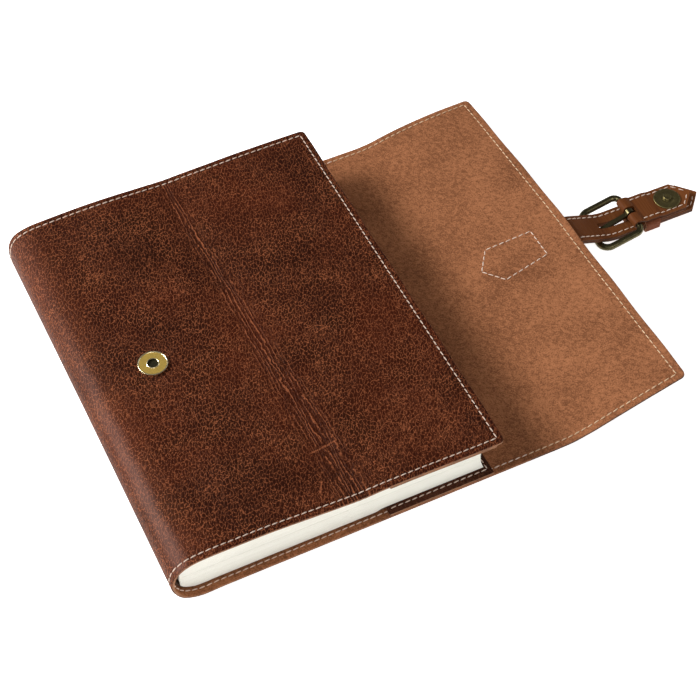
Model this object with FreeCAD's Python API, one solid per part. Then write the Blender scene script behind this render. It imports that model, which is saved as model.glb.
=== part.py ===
import FreeCAD, Part
import math
import os

# Leather notebook cover with a folding flap, a buckled strap and a snap, lying open-flapped on a table.
# Millimetres, +Z up. Everything is drawn with x = 0 at the outermost face of the spine and z = 0 under the
# back panel, +X towards the fore edge and the flap; write_node then moves it so that the origin is the
# centre of the back panel's underside. Along the strap, "along" is counted from the flap's free edge and
# "rise" from the strap's inner face, which is the side that looks up while the flap lies open.

# --- cover ---
COVER_HEIGHT = 218.0        # along Y, head to tail
THICKNESS = 27.4            # outer face to outer face, closed
LEATHER = 1.8               # panels, spine, gusset and flap
PANEL_EDGE_X = 163.0        # fore edge of the front panel
PANEL_TO_FOLD = 0.5         # room between that edge and the folded gusset
FOLD_GAP = 0.3              # gap between leather pieces on the two sides of a fold
SPINE_SEGMENTS = 3

# --- sleeves that hold the notebook's covers ---
SLEEVE_INNER_X = 105.0      # open edge, towards the spine
SLEEVE_SKIN = 1.1           # leather over the pocket
POCKET_DEPTH = 1.3
SLEEVE_SEAM = 2.6           # sewn margin beyond the pocket at the fore edge

# --- notebook ---
CARD = 0.8                  # notebook cover
CARD_GAP = 0.35             # between panel leather and card
CARD_HEIGHT = 210.4
CARD_TO_POCKET = 0.3
PAGE_HEIGHT = 210.0
PAGE_EDGE_X = 155.5         # fore edge of the pages at their top and bottom
PAGE_EDGE_SAG = 2.5         # how far the fore edge is hollowed
PAGE_GAP = 0.2              # between pages and sleeves
PAGE_SPLIT = 0.3            # gap between the two halves of the page block

# --- flap ---
FLAP_LENGTH = 69.3          # second fold to free edge
FLAP_TILT = 11.0            # degrees, open flap above the table
FLAP_CLEARANCE = 0.35       # closed, between the strap's thickest place and the front panel

# --- strap ---
STRAP_WIDTH = 18.3
PLY = 1.45                  # each of the strap's two layers
STRAP_DROP = 21.0           # degrees, first stretch below level
ROOT_LENGTH = 22.0          # first stretch, flap edge to bend
STRAP_TIP_ALONG = 77.0
STRAP_SHOULDER = 8.0        # length of the pointed end
ANCHOR_LENGTH = 54.0        # sewn base on the flap, tip to flap edge
ANCHOR_SHOULDER = 10.0
ANCHOR_FLARE = 4.15         # wider than the strap on each side, at its shoulders
ANCHOR_WAIST_ALONG = 18.0   # where the base has narrowed, before the flap edge
ANCHOR_WAIST_FLARE = 1.55

# --- buckle ---
BAR_RADIUS = 1.3
FRAME_LENGTH = 22.5         # heel bar to front bar, centres
FRAME_SIDE_PLAY = 2.75      # strap to side bar
FRAME_CORNER = 5.0          # at the front bar
HEEL_CORNER_TO_TAB = 0.45   # straight heel bar beyond the tab
HEEL_ALONG = 36.2
BAR_CLEARANCE = 0.35        # front bar to strap
PRONG_WIDTH = 2.4
PRONG_THICK = 1.6
PRONG_TIP_THICK = 1.4
PRONG_EYE_WALL = 1.0
PRONG_PAST_BAR = 1.2
PRONG_PLAY = 0.1            # eye to heel bar, and tip to front bar
SLOT_SIDE_PLAY = 0.8        # prong to its slot in the strap
SLOT_IN_ROOT = 4.0
SLOT_TO_HEEL = 2.4

# --- tab round the heel bar ---
TAB_PLY = 1.2
TAB_TO_STRAP = 0.15
TAB_PLAY = 0.1              # tab to heel bar
TAB_TIP_ALONG = 72.7
TAB_SHOULDER = 8.0
TAB_SLOT_SIDE_PLAY = 1.0    # prong to its slot in the tab
TAB_SLOT_PAST_EYE = 0.8

# --- keeper loop, held between the tab's layers ---
KEEPER_LEATHER = 1.1
KEEPER_WIDTH = 8.4          # along the strap
KEEPER_PAST_WRAP = 1.6      # from the leather wrapped round the heel bar
KEEPER_PLAY = 0.3           # to the strap's underside
KEEPER_SIDE_PLAY = 0.5
KEEPER_SEAT = 0.05          # to each layer of the tab

# --- snap ---
SNAP_X = 35.65              # centre of the socket on the front panel
SOCKET_RADIUS = 7.2
SOCKET_HEIGHT = 1.3
SOCKET_HOLE_RADIUS = 2.5
SOCKET_BOSS_RADIUS = 4.9
SOCKET_FLOOR = 0.3
BOSS_CLEARANCE = 0.1
MAGNET_WALL = 0.4           # socket metal inside and outside the magnet
MAGNET_PLAY = 0.05
WASHER = 0.3
WASHER_RADIUS = 6.8
STUD_RADIUS = 7.0
STUD_PLATE = 0.7
STUD_NUB_PLAY = 0.3         # nub to the socket's hole
STUD_NUB_HEIGHT = 1.3
STUD_POST_RADIUS = 1.5
STUD_WASHER_RADIUS = 5.0

# --- worked out from the above ---
SPINE_RADIUS = THICKNESS / 2
FOLD_X = PANEL_EDGE_X + PANEL_TO_FOLD
CENTRE_X = (SPINE_RADIUS + FOLD_X) / 2
SLEEVE_STACK = POCKET_DEPTH + SLEEVE_SKIN
POCKET_END_X = PAGE_EDGE_X + 2 * CARD_TO_POCKET
SLEEVE_EDGE_X = POCKET_END_X + SLEEVE_SEAM
CARD_BOTTOM = LEATHER + CARD_GAP
PAGE_RADIUS = SPINE_RADIUS - LEATHER - SLEEVE_STACK - PAGE_GAP

ANCHOR_WIDTH = STRAP_WIDTH + 2 * ANCHOR_FLARE
FRAME_WIDTH = STRAP_WIDTH + 2 * (FRAME_SIDE_PLAY + BAR_RADIUS)   # side bar to side bar, centres
HEEL_CORNER = (FRAME_WIDTH - STRAP_WIDTH) / 2 - HEEL_CORNER_TO_TAB
SLOT_WIDTH = PRONG_WIDTH + 2 * SLOT_SIDE_PLAY
TAB_SLOT_WIDTH = PRONG_WIDTH + 2 * TAB_SLOT_SIDE_PLAY
EYE_INNER = BAR_RADIUS + PRONG_PLAY
EYE_OUTER = EYE_INNER + PRONG_EYE_WALL
STUD_NUB_RADIUS = SOCKET_HOLE_RADIUS - STUD_NUB_PLAY
HEEL_RISE = TAB_TO_STRAP + TAB_PLY + TAB_PLAY + BAR_RADIUS
WRAP_INNER = BAR_RADIUS + TAB_PLAY
WRAP_OUTER = WRAP_INNER + TAB_PLY
TAB_HUMP = HEEL_RISE + WRAP_OUTER
TAB_LOWER_TOP = TAB_TO_STRAP + TAB_PLY
GUSSET_LENGTH = THICKNESS - 2 * LEATHER + TAB_HUMP + FLAP_CLEARANCE
FLAP_FOLD_X = FOLD_X + GUSSET_LENGTH
SNAP_ALONG = FOLD_X - FLAP_LENGTH - SNAP_X
STUD_PLATE_RISE = TAB_LOWER_TOP + WASHER + TAB_PLY

AXIS = FreeCAD.Vector(0, -1, 0)     # every fold turns +X towards +Z


def pitched(shape, x, z, degrees):
    """Move a shape drawn at the origin to (x, z), turned up from level by degrees."""
    move = FreeCAD.Placement(FreeCAD.Vector(x, 0, z), FreeCAD.Rotation(AXIS, degrees))
    turned = shape.copy()
    turned.Placement = move.multiply(shape.Placement)
    return turned


def along(x, z, distance, degrees):
    """The point at a distance from (x, z) in a direction turned up from level by degrees."""
    angle = math.radians(degrees)
    return x + distance * math.cos(angle), z + distance * math.sin(angle)


FLAP_EDGE = along(*along(FLAP_FOLD_X, LEATHER, FLAP_LENGTH, FLAP_TILT), -LEATHER, FLAP_TILT + 90)
STRAP_BEND = along(*FLAP_EDGE, ROOT_LENGTH, -STRAP_DROP)
HEEL = along(*along(*STRAP_BEND, HEEL_ALONG - ROOT_LENGTH, 0), HEEL_RISE, 90)
HEEL_OVER_ROOT = (
    (HEEL[0] - FLAP_EDGE[0]) * math.sin(math.radians(STRAP_DROP))
    + (HEEL[1] - FLAP_EDGE[1]) * math.cos(math.radians(STRAP_DROP))
)
BAR_UNDER_STRAP = 2 * PLY + BAR_CLEARANCE + BAR_RADIUS
FRAME_TILT = math.degrees(math.asin((HEEL_OVER_ROOT + BAR_UNDER_STRAP) / FRAME_LENGTH)) - STRAP_DROP
CLOSED_FRAME_TILT = math.degrees(math.asin((HEEL_RISE + BAR_UNDER_STRAP) / FRAME_LENGTH))
PRONG_UNDER_FRAME = math.degrees(
    math.asin((BAR_RADIUS + PRONG_PLAY + PRONG_TIP_THICK / 2) / FRAME_LENGTH)
)


def write_node(name, shape):
    """Write one sub-part, moved so that the origin is under the back panel's centre."""
    moved = shape.copy()
    moved.translate(FreeCAD.Vector(-CENTRE_X, 0, 0))
    moved.exportStep(f"parts/{name}.step")


def box(x0, x1, z0, z1, width):
    """A block between two x and two z values, centred on y = 0."""
    return Part.makeBox(x1 - x0, width, z1 - z0, FreeCAD.Vector(x0, -width / 2, z0))


def disc(radius, z0, z1, x=0.0):
    """An upright disc on y = 0."""
    return Part.makeCylinder(radius, z1 - z0, FreeCAD.Vector(x, 0, z0))


def point(x, z, y=0.0):
    return FreeCAD.Vector(x, y, z)


def polygon(points):
    return Part.makePolygon(points + [points[0]])


def side_prism(edges, width):
    """Extrude a closed side view, drawn in x and z, to a width centred on y = 0."""
    wire = edges if isinstance(edges, Part.Wire) else Part.Wire(Part.__sortEdges__(edges))
    solid = Part.Face(wire).extrude(FreeCAD.Vector(0, width, 0))
    solid.translate(FreeCAD.Vector(0, -width / 2, 0))
    return solid


def on_circle(radius, degrees, x, z):
    return point(*along(x, z, radius, degrees))


def arc(radius, start, end, x, z):
    """An arc in the side view, given by its centre and its two angles in degrees."""
    middle = (start + end) / 2
    return Part.Arc(
        on_circle(radius, start, x, z), on_circle(radius, middle, x, z), on_circle(radius, end, x, z)
    ).toShape()


def arc_band(inner, outer, start, end, width):
    """A curved strip about the spine's centre line."""
    centre = (SPINE_RADIUS, SPINE_RADIUS)
    ends = [
        Part.makeLine(on_circle(inner, angle, *centre), on_circle(outer, angle, *centre))
        for angle in (start, end)
    ]
    return side_prism([arc(inner, start, end, *centre), arc(outer, start, end, *centre)] + ends, width)


def mirrored(shape):
    """The same piece on the front cover: turned over about mid-thickness."""
    return shape.mirror(point(0, THICKNESS / 2), FreeCAD.Vector(0, 0, 1))


def plan_prism(outline, z0, z1):
    """Extrude an outline given as (x, half width) pairs, the same on both sides of y = 0."""
    far = [FreeCAD.Vector(x, half, z0) for x, half in outline]
    near = [FreeCAD.Vector(x, -half, z0) for x, half in reversed(outline) if half > 0]
    return Part.Face(polygon(far + near)).extrude(FreeCAD.Vector(0, 0, z1 - z0))


def build_back():
    """Back panel, its sleeve, the notebook's back cover and the lower half of the pages."""
    panel = box(SPINE_RADIUS + FOLD_GAP / 2, FOLD_X - FOLD_GAP / 2, 0, LEATHER, COVER_HEIGHT)
    write_node("back_panel", panel)
    write_node("back_sleeve", sleeve())
    write_node("notebook_back_card", notebook_card())
    write_node("pages_lower", half_block())


def build_front():
    """Front panel with its sleeve, the notebook's front cover and the snap socket."""
    panel = box(SPINE_RADIUS + FOLD_GAP / 2, PANEL_EDGE_X, THICKNESS - LEATHER, THICKNESS, COVER_HEIGHT)
    hole = disc(SOCKET_BOSS_RADIUS + BOSS_CLEARANCE, THICKNESS - LEATHER, THICKNESS, SNAP_X)
    write_node("front_panel", panel.cut(hole))
    write_node("front_sleeve", mirrored(sleeve()))
    write_node("notebook_front_card", mirrored(notebook_card()))
    build_socket()


def sleeve():
    """A strip sewn down on three sides over a pocket that opens towards the spine."""
    strip = box(SLEEVE_INNER_X, SLEEVE_EDGE_X, LEATHER, LEATHER + SLEEVE_STACK, COVER_HEIGHT)
    pocket_height = CARD_HEIGHT + 2 * CARD_TO_POCKET
    pocket = box(SLEEVE_INNER_X, POCKET_END_X, LEATHER, LEATHER + POCKET_DEPTH, pocket_height)
    return strip.cut(pocket)


def notebook_card():
    """The notebook's own cover, tucked into the sleeve."""
    card_end = POCKET_END_X - CARD_TO_POCKET
    return box(SPINE_RADIUS + FOLD_GAP / 2, card_end, CARD_BOTTOM, CARD_BOTTOM + CARD, CARD_HEIGHT)


def half_block():
    """Lower half of the pages: quarter-round at the spine, hollowed at the fore edge."""
    bottom = SPINE_RADIUS - PAGE_RADIUS
    round_end = 180 + math.degrees(math.asin(PAGE_SPLIT / 2 / PAGE_RADIUS))
    spine_side = arc(PAGE_RADIUS, 270, round_end, SPINE_RADIUS, SPINE_RADIUS)
    hollow = (PAGE_RADIUS ** 2 + PAGE_EDGE_SAG ** 2) / (2 * PAGE_EDGE_SAG)
    hollow_x = PAGE_EDGE_X - PAGE_EDGE_SAG + hollow
    low_angle = 180 + math.degrees(math.asin(PAGE_RADIUS / hollow))
    high_angle = 180 + math.degrees(math.asin(PAGE_SPLIT / 2 / hollow))
    fore_edge = arc(hollow, low_angle, high_angle, hollow_x, SPINE_RADIUS)
    top_line = Part.makeLine(
        on_circle(PAGE_RADIUS, round_end, SPINE_RADIUS, SPINE_RADIUS),
        on_circle(hollow, high_angle, hollow_x, SPINE_RADIUS),
    )
    bottom_line = Part.makeLine(point(SPINE_RADIUS, bottom), point(PAGE_EDGE_X, bottom))
    return side_prism([spine_side, top_line, fore_edge, bottom_line], PAGE_HEIGHT)


def build_pages_upper():
    write_node("pages_upper", mirrored(half_block()))


def build_spine():
    """Curved spine in equal segments, each with a strip of the notebook's cover inside it."""
    step = 180 / SPINE_SEGMENTS
    half_gap = math.degrees(FOLD_GAP / 2 / SPINE_RADIUS)
    card_outer = SPINE_RADIUS - CARD_BOTTOM
    for index in range(SPINE_SEGMENTS):
        start = 270 - index * step - half_gap
        end = start - step + 2 * half_gap
        leather = arc_band(SPINE_RADIUS - LEATHER, SPINE_RADIUS, start, end, COVER_HEIGHT)
        card = arc_band(card_outer - CARD, card_outer, start, end, CARD_HEIGHT)
        write_node(f"spine_panel_{index + 1}", leather)
        write_node(f"notebook_spine_{index + 1}", card)


def build_socket():
    """Snap socket: a disc on the leather, a boss through it with a ring magnet, and a backing washer."""
    inner_face = THICKNESS - LEATHER
    cap = disc(SOCKET_RADIUS, THICKNESS, THICKNESS + SOCKET_HEIGHT, SNAP_X)
    boss = disc(SOCKET_BOSS_RADIUS, inner_face, THICKNESS, SNAP_X)
    hole = disc(SOCKET_HOLE_RADIUS, inner_face + SOCKET_FLOOR, THICKNESS + SOCKET_HEIGHT, SNAP_X)
    cavity_outer = SOCKET_BOSS_RADIUS - MAGNET_WALL
    cavity_inner = SOCKET_HOLE_RADIUS + MAGNET_WALL
    cavity_top = THICKNESS - MAGNET_WALL
    cavity = disc(cavity_outer, inner_face, cavity_top, SNAP_X).cut(
        disc(cavity_inner, inner_face, cavity_top, SNAP_X)
    )
    magnet = disc(cavity_outer - MAGNET_PLAY, inner_face, cavity_top - MAGNET_PLAY, SNAP_X).cut(
        disc(cavity_inner + MAGNET_PLAY, inner_face, cavity_top - MAGNET_PLAY, SNAP_X)
    )
    write_node("snap_socket_cap", cap.fuse(boss).cut(hole).cut(cavity).removeSplitter())
    write_node("snap_socket_magnet", magnet)
    write_node("snap_socket_washer", disc(WASHER_RADIUS, inner_face - WASHER, inner_face, SNAP_X))


def build_gusset():
    """Strip that covers the fore edge when the flap is closed."""
    panel = box(FOLD_X + FOLD_GAP / 2, FLAP_FOLD_X - FOLD_GAP / 2, 0, LEATHER, COVER_HEIGHT)
    write_node("gusset_panel", panel)


def build_flap():
    """Flap and the pointed, sewn base of the strap on its outer face, drawn from the fold."""
    panel = box(FOLD_GAP / 2, FLAP_LENGTH, -LEATHER, 0, COVER_HEIGHT)
    outline = [
        (FLAP_LENGTH - ANCHOR_LENGTH, 0),
        (FLAP_LENGTH - ANCHOR_LENGTH + ANCHOR_SHOULDER, ANCHOR_WIDTH / 2),
        (FLAP_LENGTH - ANCHOR_WAIST_ALONG, STRAP_WIDTH / 2 + ANCHOR_WAIST_FLARE),
        (FLAP_LENGTH, STRAP_WIDTH / 2),
    ]
    slant = math.tan(math.radians((FLAP_TILT + STRAP_DROP) / 2))
    write_node("flap_panel", pitched(panel, FLAP_FOLD_X, LEATHER, FLAP_TILT))
    for name, index in (("strap_anchor_lining", 0), ("strap_anchor", 1)):
        top = -index * PLY
        side = polygon([
            point(0, top),
            point(FLAP_LENGTH - FOLD_GAP / 2 + top * slant, top),
            point(FLAP_LENGTH - FOLD_GAP / 2 + (top - PLY) * slant, top - PLY),
            point(0, top - PLY),
        ])
        ply = side_prism(side, ANCHOR_WIDTH).common(plan_prism(outline, top - PLY, top))
        ply.translate(FreeCAD.Vector(0, 0, -LEATHER))
        write_node(name, pitched(ply, FLAP_FOLD_X, LEATHER, FLAP_TILT))


def build_strap_root():
    """First stretch of the strap, from the flap edge down to the bend, slotted at its end."""
    slant = math.tan(math.radians((FLAP_TILT + STRAP_DROP) / 2))
    slot = box(ROOT_LENGTH - SLOT_IN_ROOT, ROOT_LENGTH, -2 * PLY, 0, SLOT_WIDTH)
    for name, index in (("strap_root_lining", 0), ("strap_root", 1)):
        top = -index * PLY
        side = polygon([
            point(FOLD_GAP / 2 - top * slant, top),
            point(ROOT_LENGTH - FOLD_GAP / 2, top),
            point(ROOT_LENGTH - FOLD_GAP / 2, top - PLY),
            point(FOLD_GAP / 2 - (top - PLY) * slant, top - PLY),
        ])
        write_node(name, pitched(side_prism(side, STRAP_WIDTH).cut(slot), *FLAP_EDGE, -STRAP_DROP))


def build_strap_end():
    """Level stretch of the strap with its pointed tip, drawn from the bend."""
    start = FOLD_GAP / 2
    tip = STRAP_TIP_ALONG - ROOT_LENGTH
    outline = [(start, STRAP_WIDTH / 2), (tip - STRAP_SHOULDER, STRAP_WIDTH / 2), (tip, 0)]
    slot_end = HEEL_ALONG - ROOT_LENGTH - SLOT_TO_HEEL
    slot = box(start, slot_end, -2 * PLY, 0, SLOT_WIDTH)
    for name, index in (("strap_end_lining", 0), ("strap_end", 1)):
        top = -index * PLY
        write_node(name, pitched(plan_prism(outline, top - PLY, top).cut(slot), *STRAP_BEND, 0))


def build_tab():
    """Tab folded round the heel bar, its layers joined again beyond the stud, drawn from the bend."""
    heel = HEEL_ALONG - ROOT_LENGTH
    tip = TAB_TIP_ALONG - ROOT_LENGTH
    snap = SNAP_ALONG - ROOT_LENGTH
    over_keeper = TAB_LOWER_TOP + KEEPER_LEATHER + 2 * KEEPER_SEAT
    over_washer = TAB_LOWER_TOP + WASHER
    keeper_start = heel + WRAP_OUTER + KEEPER_PAST_WRAP
    keeper_end = keeper_start + KEEPER_WIDTH
    plate_start = snap - STUD_RADIUS
    cavity_end = snap + WASHER_RADIUS
    upper = [(keeper_start, over_keeper), (keeper_end, over_keeper), (plate_start, over_washer)]

    def ring(low, high, radius, end):
        """Closed side view: straight underside, wrap round the bar, stepped top."""
        reach = math.hypot(high[0][0] - heel, high[0][1] - HEEL_RISE)
        bearing = math.atan2(high[0][1] - HEEL_RISE, high[0][0] - heel)
        leaves_at = math.degrees(bearing + math.acos(radius / reach))
        corners = [on_circle(radius, leaves_at, heel, HEEL_RISE)] + [point(x, z) for x, z in high]
        corners += [point(end, high[-1][1]), point(end, low), point(heel, low)]
        lines = [Part.makeLine(first, second) for first, second in zip(corners, corners[1:])]
        return side_prism(lines + [arc(radius, leaves_at, 270, heel, HEEL_RISE)], STRAP_WIDTH)

    outside = ring(TAB_TO_STRAP, [(x, z + TAB_PLY) for x, z in upper], WRAP_OUTER, tip)
    inside = ring(TAB_LOWER_TOP, upper, WRAP_INNER, cavity_end)
    outline = [(heel - WRAP_OUTER, STRAP_WIDTH / 2), (tip - TAB_SHOULDER, STRAP_WIDTH / 2), (tip, 0)]
    slot_end = heel + EYE_OUTER + TAB_SLOT_PAST_EYE
    slot = box(heel - WRAP_OUTER, slot_end, 0, TAB_HUMP, TAB_SLOT_WIDTH)
    post_hole = disc(STUD_POST_RADIUS, over_washer, STUD_PLATE_RISE, snap)
    tab = outside.cut(inside).common(plan_prism(outline, 0, TAB_HUMP)).cut(slot).cut(post_hole)
    write_node("buckle_tab", pitched(tab, *STRAP_BEND, 0))
    build_keeper(keeper_start, keeper_end)
    build_stud(snap)


def build_keeper(start, end):
    """Loop held between the tab's layers and carried round the strap."""
    inner_half = STRAP_WIDTH / 2 + KEEPER_SIDE_PLAY
    inner_low = -2 * PLY - KEEPER_PLAY
    inner_high = TAB_LOWER_TOP + KEEPER_SEAT
    outer = box(start, end, inner_low - KEEPER_LEATHER, inner_high + KEEPER_LEATHER,
                2 * (inner_half + KEEPER_LEATHER))
    loop = outer.cut(box(start, end, inner_low, inner_high, 2 * inner_half))
    write_node("keeper_loop", pitched(loop, *STRAP_BEND, 0))


def build_stud(snap):
    """Snap stud: plate with a central nub, its post through the tab and a backing washer."""
    plate = disc(STUD_RADIUS, STUD_PLATE_RISE, STUD_PLATE_RISE + STUD_PLATE, snap)
    nub_top = STUD_PLATE_RISE + STUD_PLATE + STUD_NUB_HEIGHT
    nub = disc(STUD_NUB_RADIUS, STUD_PLATE_RISE + STUD_PLATE, nub_top, snap)
    post = disc(STUD_POST_RADIUS, TAB_LOWER_TOP + WASHER, STUD_PLATE_RISE, snap)
    washer = disc(STUD_WASHER_RADIUS, TAB_LOWER_TOP, TAB_LOWER_TOP + WASHER, snap)
    write_node("snap_stud", pitched(plate.fuse([nub, post]).removeSplitter(), *STRAP_BEND, 0))
    write_node("snap_stud_washer", pitched(washer, *STRAP_BEND, 0))


def build_buckle():
    """Round-bar frame, drawn with its heel bar on the origin and its front bar at -x."""
    half = FRAME_WIDTH / 2
    corners = [
        (0, half, HEEL_CORNER, 0),
        (-FRAME_LENGTH, half, FRAME_CORNER, 90),
        (-FRAME_LENGTH, -half, FRAME_CORNER, 180),
        (0, -half, HEEL_CORNER, 270),
    ]
    ends = []
    arcs = []
    for x, y, radius, start in corners:
        centre_x = x + math.copysign(radius, -FRAME_LENGTH / 2 - x)
        centre_y = y - math.copysign(radius, y)
        stops = [along(centre_x, centre_y, radius, start + turn) for turn in (0, 45, 90)]
        stops = [point(px, 0, py) for px, py in stops]
        ends.append((stops[0], stops[2]))
        arcs.append(Part.Arc(*stops).toShape())
    edges = []
    for index, bend in enumerate(arcs):
        edges += [Part.makeLine(ends[index - 1][1], ends[index][0]), bend]
    path = Part.Wire(edges)
    section = Part.Wire([Part.makeCircle(BAR_RADIUS, ends[-1][1], FreeCAD.Vector(0, 1, 0))])
    frame = path.makePipeShell([section], True, True)
    write_node("buckle_frame", pitched(frame, *HEEL, FRAME_TILT))


def build_prong():
    """Prong with an eye on the heel bar, reaching past the front bar on the strap's outer side."""
    across = FreeCAD.Vector(0, 1, 0)
    eye = Part.makeCylinder(EYE_OUTER, PRONG_WIDTH, point(0, 0, -PRONG_WIDTH / 2), across)
    bore = Part.makeCylinder(EYE_INNER, PRONG_WIDTH, point(0, 0, -PRONG_WIDTH / 2), across)
    shank_start = -(EYE_INNER + PRONG_EYE_WALL / 2)
    tip = -(FRAME_LENGTH + BAR_RADIUS + PRONG_PAST_BAR)
    thin = -(FRAME_LENGTH - 2 * BAR_RADIUS)
    side = polygon([
        point(shank_start, PRONG_THICK / 2),
        point(shank_start, -PRONG_THICK / 2),
        point(thin, -PRONG_TIP_THICK / 2),
        point(tip, -PRONG_TIP_THICK / 2),
        point(tip, PRONG_TIP_THICK / 2),
        point(thin, PRONG_TIP_THICK / 2),
    ])
    prong = eye.fuse(side_prism(side, PRONG_WIDTH)).cut(bore).removeSplitter()
    write_node("buckle_prong", pitched(prong, *HEEL, FRAME_TILT + PRONG_UNDER_FRAME))


def main():
    os.makedirs("parts", exist_ok=True)
    build_back()
    build_spine()
    build_front()
    build_pages_upper()
    build_gusset()
    build_flap()
    build_strap_root()
    build_strap_end()
    build_tab()
    build_buckle()
    build_prong()
    places = {
        "book hinge": (SPINE_RADIUS - PAGE_RADIUS, SPINE_RADIUS),
        "flap fold 1": (FOLD_X, LEATHER),
        "flap fold 2": (FLAP_FOLD_X, LEATHER),
        "strap bend 1": FLAP_EDGE,
        "strap bend 2": STRAP_BEND,
        "heel bar": HEEL,
    }
    step = 180 / SPINE_SEGMENTS
    for index in range(SPINE_SEGMENTS + 1):
        angle = 270 - index * step
        places[f"spine fold {index + 1}"] = along(SPINE_RADIUS, SPINE_RADIUS, SPINE_RADIUS, angle)
    for name, (x, z) in places.items():
        print(f"{name}: x {x - CENTRE_X:.3f} z {z:.3f}")
    print(f"flap folds: 90 and {90 - FLAP_TILT:.1f} degrees")
    print(f"strap straightens by {FLAP_TILT + STRAP_DROP:.1f} then -{STRAP_DROP:.1f} degrees")
    print(f"frame rocks by {CLOSED_FRAME_TILT - FRAME_TILT:.3f} degrees")


main()
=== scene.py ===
"""Looks of a leather notebook cover with a folding flap, a buckled strap and a snap.

Lengths are in millimetres in the maker's own frame until a mesh is placed: x runs from the
spine to the strap, y from the near end to the far end and z up from the table.
"""

import logging
import math
from collections.abc import Callable, Sequence
from dataclasses import dataclass
from enum import Enum

import bpy
import numpy as np
from mathutils import Matrix, Vector


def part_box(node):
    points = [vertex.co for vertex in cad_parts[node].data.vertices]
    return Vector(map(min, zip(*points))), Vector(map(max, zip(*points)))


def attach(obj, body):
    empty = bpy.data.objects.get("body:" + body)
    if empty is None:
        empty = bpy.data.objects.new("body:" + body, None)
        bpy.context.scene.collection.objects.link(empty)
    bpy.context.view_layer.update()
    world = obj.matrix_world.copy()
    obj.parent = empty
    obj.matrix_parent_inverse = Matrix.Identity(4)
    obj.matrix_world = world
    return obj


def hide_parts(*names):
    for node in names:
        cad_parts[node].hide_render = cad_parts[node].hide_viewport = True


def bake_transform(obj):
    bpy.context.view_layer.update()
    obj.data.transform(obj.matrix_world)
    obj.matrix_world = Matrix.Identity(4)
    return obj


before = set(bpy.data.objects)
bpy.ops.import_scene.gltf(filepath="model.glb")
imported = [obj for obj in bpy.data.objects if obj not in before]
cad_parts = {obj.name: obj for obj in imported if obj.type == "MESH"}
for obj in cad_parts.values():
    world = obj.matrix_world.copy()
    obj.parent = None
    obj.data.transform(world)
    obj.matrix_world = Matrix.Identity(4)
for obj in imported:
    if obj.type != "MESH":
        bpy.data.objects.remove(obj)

LOG = logging.getLogger("notebook_cover")
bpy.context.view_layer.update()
SPINE_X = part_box("spine_panel_2")[0].x * 1000.0
HALF_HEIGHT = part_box("front_panel")[1].y * 1000.0
LEATHER = 1.8
BACK_OFFSET = -15.64
SPINE_MIDS = (-22.17, -7.82, 6.53)
BACK_SEAM = -150.0
GUSSET_SEAM = -193.64
FRONT_EDGE = 163.0
FLAP_EDGE = -278.28
STITCH_INSET = 3.0
CREASE_AT = 86.5
CREASE_SLANT = 0.0275
SLEEVE_MOUTH = 105.0
SLEEVE_EDGE = 158.7

Array = np.ndarray
Colour = tuple[float, float, float]


def row(x: float, y: float, z: float) -> Vector:
    """A point of the maker's frame as a point of the model, in metres."""
    return Vector(((x + SPINE_X) / 1000.0, y / 1000.0, z / 1000.0))


def ease(value: Array, low: float, high: float) -> Array:
    """A smooth step from 0 at low to 1 at high."""
    share = np.clip((value - low) / (high - low), 0.0, 1.0)
    return share * share * (3.0 - 2.0 * share)


# ---------------------------------------------------------------- shader graphs


class Socket:
    """A number that changes over a surface; arithmetic on it adds Math nodes."""

    def __init__(self, paint: "Paint", out: bpy.types.NodeSocket) -> None:
        """Keeps the graph and the output that carries the number."""
        self.paint = paint
        self.out = out

    def __add__(self, other: "Term") -> "Socket":
        """Sum."""
        return self.paint.maths("ADD", self, other)

    def __radd__(self, other: float) -> "Socket":
        """Sum, from the right."""
        return self.paint.maths("ADD", other, self)

    def __sub__(self, other: "Term") -> "Socket":
        """Difference."""
        return self.paint.maths("SUBTRACT", self, other)

    def __rsub__(self, other: float) -> "Socket":
        """Difference, from the right."""
        return self.paint.maths("SUBTRACT", other, self)

    def __mul__(self, other: "Term") -> "Socket":
        """Product."""
        return self.paint.maths("MULTIPLY", self, other)

    def __rmul__(self, other: float) -> "Socket":
        """Product, from the right."""
        return self.paint.maths("MULTIPLY", other, self)

    def __truediv__(self, other: "Term") -> "Socket":
        """Quotient."""
        return self.paint.maths("DIVIDE", self, other)

    def __abs__(self) -> "Socket":
        """Size without sign."""
        return self.paint.maths("ABSOLUTE", self)

    def rise(self, low: float, high: float) -> "Socket":
        """A smooth step of this number, from 0 at low to 1 at high (or falling if high < low).

        Args:
            low: Where the step starts.
            high: Where it ends.

        Returns:
            The step.
        """
        first, last = (0.0, 1.0) if low < high else (1.0, 0.0)
        node = self.paint.node(
            "ShaderNodeMapRange",
            {"interpolation_type": "SMOOTHSTEP", "clamp": True},
            {0: self, 1: min(low, high), 2: max(low, high), 3: first, 4: last},
        )
        return Socket(self.paint, node.outputs[0])


Term = Socket | float


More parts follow.
